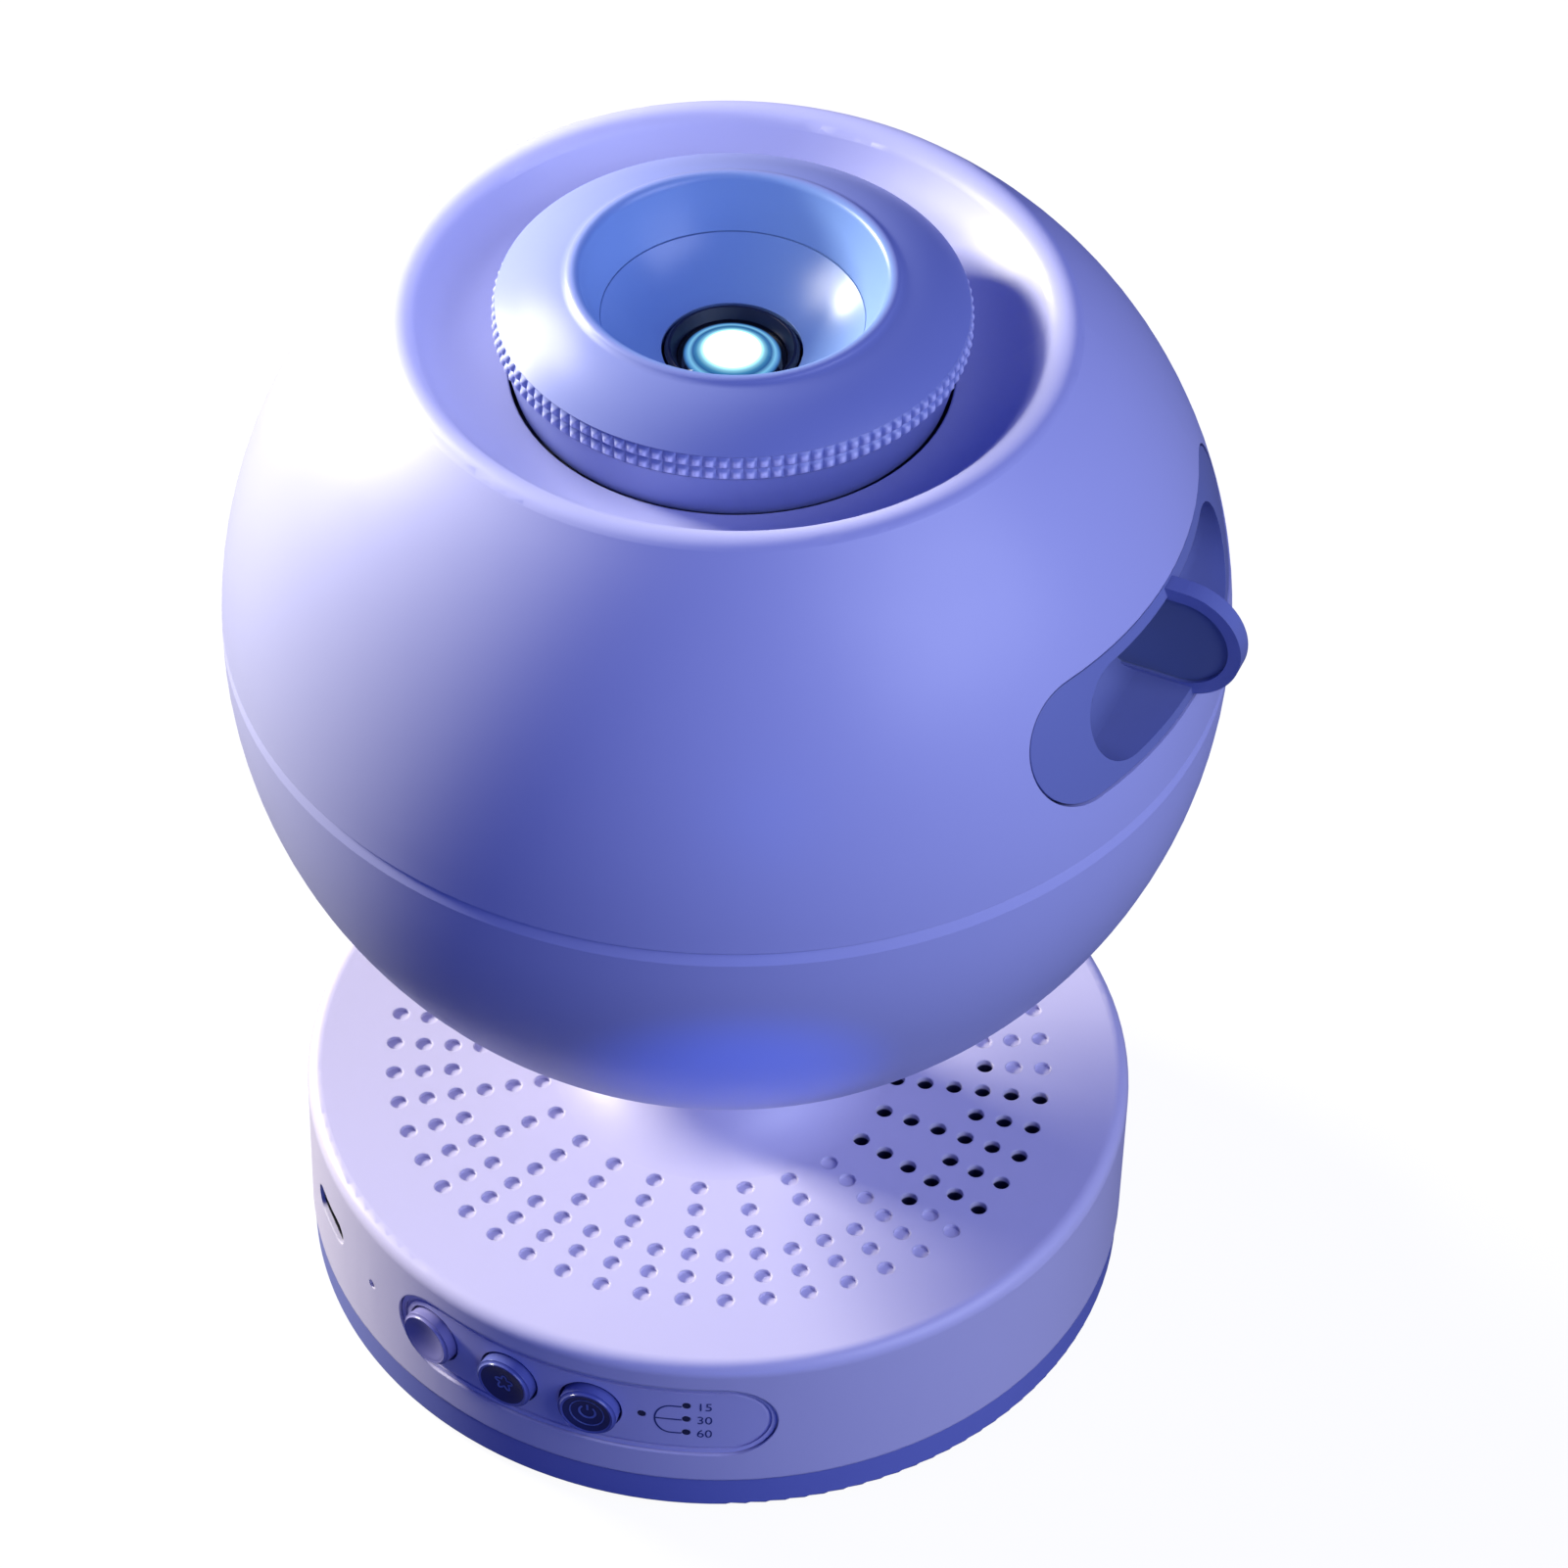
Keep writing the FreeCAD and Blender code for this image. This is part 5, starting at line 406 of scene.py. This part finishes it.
def dish(radius):
    """Height of a cap's dished face: a parabola dish_depth below the face at its middle."""
    return button_face - dish_depth * (1 - (radius / dish_radius) ** 2)


def button(name, azimuth, material, signs):
    """One cap about its own axis, with signs as bands of (x, y) paths laid on the dish."""
    a = math.radians(azimuth)
    out = (math.sin(a), -math.cos(a), 0.0)
    axes = np.array([(math.cos(a), math.sin(a), 0.0), (0.0, 0.0, 1.0), out])
    origin = (0.0, 0.0, panel_rise)
    profile = [(middle_radius, button_foot), (flange_radius - flange_bevel, button_foot),
               (flange_radius, button_foot + flange_bevel),
               (flange_radius, flange_face - flange_bevel),
               (flange_radius - flange_bevel, flange_face), (button_radius, flange_face),
               (button_radius, button_face - rim_round)]
    crest = (button_radius - rim_round, button_face)
    profile += bow(profile[-1], crest, rim_round, 7)
    profile += bow(crest, (dish_radius, button_face - shoulder_drop), shoulder_round, 4)
    inward = np.linspace(0.95 * dish_radius, middle_radius, 14)
    profile += np.stack([inward, dish(inward) - dish_sink], -1).tolist()
    body = name.replace("_cap", "_button")
    piece = make_piece(name, lathe(profile, cap_columns, origin, axes), material, body)
    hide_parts(name.replace("_cap", "_button"))
    if material is rim_cap:
        # Faces come ring by ring, and after them the foot's face and the dish's middle.
        piece.data.materials.append(dish_film)
        film_ring = len(profile) - len(inward) - 1
        total = len(piece.data.polygons)
        foot_face = total - 2
        lined = np.arange(total) >= cap_columns * film_ring
        lined[foot_face] = False
        piece.data.polygons.foreach_set("material_index", lined.astype(np.int32))
    for number, (path, width) in enumerate(signs):
        band = ribbon(path, width)
        reach = np.hypot(band[..., 0], band[..., 1])
        height = dish(reach) + band[..., 2] * ink_height - sign_sink
        points = np.asarray(origin) + np.stack([band[..., 0], band[..., 1], height], -1) @ axes
        sign = make_piece(f"{name}_sign_{number}", points, sign_ink, body)


def circle(radius, start, end, count=40):
    """Points round a circle between two angles in degrees from its right."""
    angle = np.radians(np.linspace(start, end, count))
    return radius * np.stack([np.cos(angle), np.sin(angle)], -1)


def star(radius, points=5):
    """A curve round a star: the radius swells by 0.3 cos(points t) as t goes round."""
    t = np.linspace(0, 2 * math.pi, 90)
    reach = radius * (1 + 0.3 * np.cos(points * (t - math.pi / 2)))
    return np.stack([reach * np.cos(t), reach * np.sin(t)], -1)


power_bar = np.stack([np.zeros(6), np.linspace(0.25, 1.35, 6) * MM], -1)
button("power_cap", -16.8, rim_cap, [(circle(1.05 * MM, 130, 410), 0.28 * MM),
                                      (power_bar, 0.28 * MM),
                                      (circle(2.2 * MM, 0, 360, 80), 0.16 * MM)])
button("mode_cap", -29.0, rim_cap, [(star(0.95 * MM), 0.26 * MM)])
button("timer_cap", -42.0, pale_cap, [])

# ------------------------------------------------------------------ behind the panel
# Smoked light pipes pass through the panel; behind it an inner frame carries the tact switches and
# the small LEDs. The USB socket is a drawn steel shell with a black contact blade.


def marked(tree, shader, marks, roughness, share, depth):
    """Marks from 0 to 1 vary the roughness by a share of it and dent the surface by depth mm."""
    gloss = ranged(tree, marks, (1 - share) * roughness, (1 + share) * roughness)
    tree.links.new(gloss, shader.inputs["Roughness"])
    bump = node(tree, "ShaderNodeBump", {"Height": marks, "Distance": depth * MM})
    tree.links.new(bump.outputs[0], shader.inputs["Normal"])


def polished(name, settings, roughness, grain, depth):
    """Clear or glossy material whose noise of grain mm dents it by depth mm and varies its
    roughness by a third."""
    material, tree, shader = blank_material(name, settings)
    marked(tree, shader, noise(tree, grain, 2.0), roughness, 0.33, depth)
    return material


# Smoked polycarbonate: dark until an LED behind it is lit, with flow marks from its gate.
smoked = polished("smoked polycarbonate light pipe",
                  {"Base Color": linear("#23284A"), "IOR": 1.58}, 0.15, 0.4, 0.002)
frame_abs = moulded("grey inner ABS", "#8E8FA0", 0.5)
black_abs = moulded("black glass-filled nylon", "#17181C", 0.5, grain=0.5, depth=0.008, cloud=0.15)


def metal(name, colour, roughness, grain, depth, lines=(1, 1, 1)):
    """Metal whose noise of grain mm, stretched along an axis by lines, dents it by depth mm and
    varies its roughness by a fifth."""
    material, tree, shader = blank_material(name, {"Base Color": linear(colour), "Metallic": 1.0})
    place = node(tree, "ShaderNodeTexCoord").outputs["Object"]
    spread = node(tree, "ShaderNodeMapping", {"Vector": place, "Scale": lines})
    marks = node(tree, "ShaderNodeTexNoise", {"Vector": spread.outputs[0],
                                              "Scale": 1 / (grain * MM), "Detail": 3.0})
    marked(tree, shader, marks.outputs["Fac"], roughness, 0.2, depth)
    return material


# Nickel over drawn steel: bright, with faint drawing lines along the shell.
nickel = metal("drawn nickel-plated steel", "#46464C", 0.35, 0.8, 0.002, (1, 1, 0.2))
dress(smoked, "light_pipes")
dress(frame_abs, "switch_carrier", "swivel_retainer", "lens_holder", "ring_retainer")
dress(black_abs, "tact_switches", "board_parts", "speaker_frame", "lens_barrel", "lens_retainer",
      "lens_spacer", "tray_guide", "lamp_housing", "lead_socket")
dress(nickel, "usb_socket")
# White ceramic-filled LED bodies.
dress(moulded("white LED body", "#E9E6DA", 0.45, grain=0.1), "indicator_leds")

# ------------------------------------------------------------------ inside the base
# Ballast, battery, main board, speaker and the lead up to the lamp, with their screws.

# Zinc-plated steel with a blue-white passivation, lightly mottled.
zinc = metal("zinc-plated steel screw", "#C3C6CC", 0.3, 0.6, 0.003)
# Hot-rolled plate, phosphated: dark grey and dull.
plate_steel = metal("phosphated steel plate", "#5C5C60", 0.55, 2.0, 0.01)
# Pouch of aluminium laminate: bright, softly wrinkled.
foil = metal("aluminium laminate pouch", "#C9C9CC", 0.35, 5.0, 0.25)
# Sintered ferrite, as broken from the press.
ferrite = moulded("sintered ferrite", "#2B2B2E", 0.7, grain=0.4, depth=0.02, cloud=0.2)
sleeve = moulded("braided polyester sleeve", "#26262B", 0.7, grain=0.5, depth=0.1, cloud=0.2)
acetal = moulded("natural white acetal", "#E8E6DF", 0.35, grain=0.4, depth=0.002)
dress(zinc, "cover_screws", "board_screws", "swivel_screws", "guide_pins", "holder_screws",
      "retainer_screws", "guide_screws", "lamp_screws", "driver_screws")
dress(plate_steel, "ballast_plate")
dress(foil, "battery")
dress(ferrite, "speaker_magnet")
dress(sleeve, "lamp_lead")
dress(acetal, "thrust_washer", "cam_sleeve")

# Green solder mask over copper: paths 0.5 mm wide show as slightly lighter cells of a Voronoi
# pattern's edges.
mask, tree, shader = blank_material("green solder mask on FR4", {"IOR": 1.5, "Roughness": 0.3})
place = node(tree, "ShaderNodeTexCoord").outputs["Object"]
tracks = node(tree, "ShaderNodeTexVoronoi", {"Vector": place, "Scale": 1 / (3 * MM)},
              feature="DISTANCE_TO_EDGE")
path = node(tree, "ShaderNodeMapRange", {"Value": tracks.outputs["Distance"], "From Min": 0.08,
                                         "From Max": 0.1, "To Min": 1.4, "To Max": 1.0})
shade = node(tree, "ShaderNodeHueSaturation", {"Color": linear("#1F5B3A"),
                                               "Value": path.outputs[0]})
tree.links.new(shade.outputs[0], shader.inputs["Base Color"])
dress(mask, "main_board", "driver_board")

# Paper pulp pressed on a mesh: matt black fibres 0.4 mm long.
dress(moulded("pressed paper speaker cone", "#222226", 0.9, grain=0.4, depth=0.05, cloud=0.3),
      "speaker_cone")

# ------------------------------------------------------------------ ball shells
# Two ABS shells meet in a chamfered parting line below the middle. The upper one ends in the
# crater round the focus ring and has the tray's slot in its side.

# The ball's skin is a fine satin, a little smoother than the base, in the palest lavender.
ball_abs = moulded("satin pale lavender ABS, fine blasted", "#BFC2EC", 0.40, grain=0.3,
                   depth=0.002)
dress(ball_abs, "lower_shell", "upper_shell")

# ------------------------------------------------------------------ focus ring and bell
# The ring is one hollow moulding with a smooth skirt, a band of small pyramids to grip, a domed
# top and a trumpet mouth. It turns round the lens and carries the bell's cone below its mouth.

# The ring's outline, as (radius, height) in millimetres, and the radii of its arcs: a negative
# one bulges outward.
skirt_foot, skirt_top, band_foot = (25.2, 142.08), (26.7, 148.18), (27.0, 148.68)
dome_foot, mouth_crest = (27.15, 152.08), (19.2, 155.88)
throat_top, throat_foot = (17.4, 155.48), (15.2, 150.08)
dome_arc, lip_arc, throat_arc = -24.0, -0.99, 30.0
bell_seat, sleeve_bore_foot, sleeve_foot = (16.5, 150.08), (16.5, 143.08), (18.1, 143.08)
ceiling_inside, ceiling_outside = (18.1, 152.28), (24.8, 150.28)
wall_knee, wall_foot = (24.35, 145.13), (23.6, 142.08)
knurl_outer, knurl_height = 27.5, 3.2
bell_blue = "#7B9BD2"
pyramid_height, pyramid_rows, pyramid_columns = 0.55, 2, 112
crest_share, lifts_per_row = 0.25, 8
ring_abs = moulded("satin blue-lavender ABS focus ring", "#8994CC", 0.32, grain=0.3, depth=0.002)


def knurled_ring():
    """The ring as a closed profile carried round. On the band the radius falls from the crests by
    pyramid_height times the larger of the two distances, across and up, from a cell's middle,
    beyond the flat crest. The steps lie closer at a cell's ends, where the groove is."""
    skirt = [skirt_foot, skirt_top, band_foot]
    lift = np.linspace(0, knurl_height, lifts_per_row * pyramid_rows + 1)
    band = np.stack([np.full_like(lift, knurl_outer), band_foot[1] + lift], -1)
    top = [dome_foot] + bow(dome_foot, mouth_crest, dome_arc, 16)
    lip = bow(mouth_crest, throat_top, lip_arc, 10)
    throat = bow(throat_top, throat_foot, throat_arc, 14)
    inside = [bell_seat, sleeve_bore_foot, sleeve_foot, ceiling_inside, ceiling_outside,
              wall_knee, wall_foot]
    profile = np.array(skirt + band.tolist() + top + lip + throat + inside)
    steps = np.array([0.0, 0.12, 0.3, 0.5, 0.7, 0.88])
    cells = (np.arange(pyramid_columns)[:, None] + steps).ravel()
    angle = 2 * math.pi * cells / pyramid_columns
    radius = np.broadcast_to(profile[:, :1], (len(profile), len(angle))).copy()
    rows = slice(len(skirt), len(skirt) + len(band))
    across = np.abs(2 * (cells % 1) - 1)
    up = np.abs(2 * ((lift / knurl_height * pyramid_rows) % 1) - 1)
    slope = np.maximum(across[None, :], up[:, None])
    radius[rows] -= pyramid_height * np.clip((slope - crest_share) / (1 - crest_share), 0, 1)
    height = np.broadcast_to(profile[:, 1:], radius.shape)
    return np.stack([radius * np.cos(angle), radius * np.sin(angle), height], -1) * MM


# Painted highlight: the pyramids' points are paler than the gaps, standing in for the light they
# catch.
highlight_from, highlight_to = 27.16, 27.44
tip_highlight = fading(ring_abs.node_tree, axis_distance(ring_abs.node_tree), highlight_from, highlight_to, 0.0, 1.0)
tinted(ring_abs, tip_highlight, "#C4C9F0")
# Painted light: the throat takes the bell's blue as the lens's light on it, fading in over the
# mouth's lip.
blue_within, blue_until = 17.6, 18.8
throat = fading(ring_abs.node_tree, axis_distance(ring_abs.node_tree), blue_within, blue_until,
                1.0, 0.0)
tinted(ring_abs, throat, bell_blue)
ring = make_piece("knurled_ring", knurled_ring(), ring_abs, "focus_ring", closed=True)
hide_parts("focus_ring")
# The bell's blue is partly its own colour and partly painted light: the lens's cyan light on its
# walls.
bell_abs = moulded("satin blue ABS bell", bell_blue, 0.30, grain=0.3, depth=0.002)
dress(bell_abs, "bell_cone")

# ------------------------------------------------------------------ lens barrel
# A black barrel slides in the holder's tube. A screwed black bezel holds the glass front lens,
# which is lit from below by the lamp; steel and plastic rings hold the rear lens.

bezel_black = moulded("gloss navy-black ABS bezel", "#12162E", 0.3, grain=0.2, depth=0.002,
                      cloud=0.08)
dress(bezel_black, "lens_bezel")

# The lit front lens: the lamp's image fills its middle white, then come a cyan, a dark and a
# pale blue ring as the light meets the glass edges, and the blackened rim.
lit_glass, tree, shader = blank_material("polished glass lens, lit from below", {
    "Base Color": linear("#0A0D1A"), "Roughness": 0.05, "IOR": 1.52})
reach = axis_distance(tree)
lens_radius, core_radius, core_end = 6.3, 1.2, 3.9
core_glow, rim_glow = 9.0, 1.0
along = node(tree, "ShaderNodeMapRange", {"Value": reach, "From Max": lens_radius * MM})
bands = node(tree, "ShaderNodeValToRGB", {"Fac": along.outputs[0]})
rings = [(0.0, "#FFFFFF"), (0.42, "#F4FFFF"), (0.56, "#9FE3F5"), (0.66, "#3F84B4"),
         (0.72, "#2B5F98"), (0.79, "#7CC4EC"), (0.86, "#3C76B8"), (0.90, "#05070F")]
for position, colour in rings[1:-1]:
    bands.color_ramp.elements.new(position)
for stop, (position, colour) in zip(bands.color_ramp.elements, rings):
    stop.position, stop.color = position, linear(colour)
tree.links.new(bands.outputs["Color"], shader.inputs["Emission Color"])
strength = fading(tree, reach, core_radius, core_end, core_glow, rim_glow)
tree.links.new(strength, shader.inputs["Emission Strength"])
dress(lit_glass, "front_lens")

# Optical glass, so smooth that only the faintest polishing marks are left.
clear_glass = polished("polished optical glass", {
    "Base Color": linear("#F4FAFF"), "IOR": 1.52, "Transmission Weight": 1.0}, 0.02, 2.0, 0.0005)
dress(clear_glass, "rear_lens", "condenser_lens")

# ------------------------------------------------------------------ disc tray
# The tray's front is an ABS moulding a shade darker than the ball, with two finger scoops and a
# pull fin between them whose hollow sides carry painted shade, darker still. The carrier behind
# it holds the film disc under a spring-steel clip.

tray_rise, tray_azimuth = 122.375 * MM, math.radians(66.7)
tray_out = (math.sin(tray_azimuth), -math.cos(tray_azimuth), 0.0)
tray_aside = (math.cos(tray_azimuth), math.sin(tray_azimuth), 0.0)
fin_centre, fin_hollow, web_half = 56.9 * MM, 5.95 * MM, 0.8 * MM


def offset_from_axis(tree, direction):
    """Distance to either side of the upright axis: the size of the dot product with direction."""
    place = node(tree, "ShaderNodeTexCoord").outputs["Object"]
    along = node(tree, "ShaderNodeVectorMath", {0: place, 1: direction}, operation="DOT_PRODUCT")
    size = node(tree, "ShaderNodeMath", {0: along.outputs["Value"]}, operation="ABSOLUTE")
    return size.outputs[0]


def stadium_reach(tree, direction, straight, middle):
    """Distance from the middle line of a lying stadium: the length of what the offset has beyond
    the straight part, and of the height above the middle."""
    past = node(tree, "ShaderNodeMath", {0: offset_from_axis(tree, direction), 1: straight},
                operation="SUBTRACT")
    past = node(tree, "ShaderNodeMath", {0: past.outputs[0], 1: 0.0}, operation="MAXIMUM")
    place = node(tree, "ShaderNodeTexCoord").outputs["Object"]
    height = node(tree, "ShaderNodeSeparateXYZ", {0: place}).outputs["Z"]
    height = node(tree, "ShaderNodeMath", {0: height, 1: middle}, operation="SUBTRACT")
    pair = node(tree, "ShaderNodeCombineXYZ", {0: past.outputs[0], 1: height.outputs[0]})
    reach = node(tree, "ShaderNodeVectorMath", {0: pair.outputs[0]}, operation="LENGTH")
    return reach.outputs["Value"]


# Painted shade: the fin's thin middle plate, thinner than its rim, is coloured darker where its
# hollow sides lie in shade.
tray_abs = moulded("satin periwinkle ABS tray", "#7F89BE", 0.34, grain=0.3, depth=0.002)
tree = tray_abs.node_tree
thin = node(tree, "ShaderNodeMath", {0: offset_from_axis(tree, tray_aside), 1: web_half},
            operation="LESS_THAN")
within = node(tree, "ShaderNodeMath", {0: stadium_reach(tree, tray_out, fin_centre, tray_rise),
                                       1: fin_hollow}, operation="LESS_THAN")
web_shade = node(tree, "ShaderNodeMath", {0: thin.outputs[0], 1: within.outputs[0]},
           operation="MULTIPLY")
tinted(tray_abs, web_shade.outputs[0], "#76829F")
dress(tray_abs, "tray_front", "disc_carrier")

# Photographic film between two clear discs: near black, with clear star points of 0.1 to 0.3 mm.
film, tree, shader = blank_material("star-field film under polycarbonate", {
    "Roughness": 0.12, "IOR": 1.58})
place = node(tree, "ShaderNodeTexCoord").outputs["Object"]
spots = node(tree, "ShaderNodeTexVoronoi", {"Vector": place, "Scale": 1 / (1.1 * MM)})
size = node(tree, "ShaderNodeMapRange", {"Value": spots.outputs["Color"], "From Min": 0.55,
                                         "From Max": 1.0, "To Min": 0.0, "To Max": 0.16})
point = node(tree, "ShaderNodeMath", {0: spots.outputs["Distance"], 1: size.outputs[0]},
             operation="LESS_THAN")
clearness = ranged(tree, point.outputs[0], 0.02, 0.9)
tint = node(tree, "ShaderNodeCombineColor", {"Red": clearness, "Green": clearness, "Blue": 0.12})
tree.links.new(tint.outputs[0], shader.inputs["Base Color"])
dress(film, "film_disc")
spring_steel = metal("polished spring steel", "#C8C8CA", 0.2, 0.5, 0.001, (1, 1, 0.3))
dress(spring_steel, "disc_clip", "condenser_ring")

# ------------------------------------------------------------------ lamp
# A white LED on an aluminium board, with its finned heat sink; the lamp housing stands over it.

white_mask = moulded("white solder mask on aluminium", "#E4E4E0", 0.4, grain=0.5, depth=0.002)
dress(white_mask, "lamp_board")
# Cast silicone is soft and slightly wavy over its yellow phosphor.
led_dome = polished("silicone LED dome over phosphor", {
    "Base Color": linear("#F2D85A"), "IOR": 1.41, "Emission Color": linear("#DDF3FF"),
    "Emission Strength": 4.0}, 0.15, 0.6, 0.004)
dress(led_dome, "lamp_emitter")
extruded = metal("extruded aluminium, clear anodised", "#B5B7BA", 0.4, 1.0, 0.004, (1, 0.15, 1))
dress(extruded, "heat_sink")
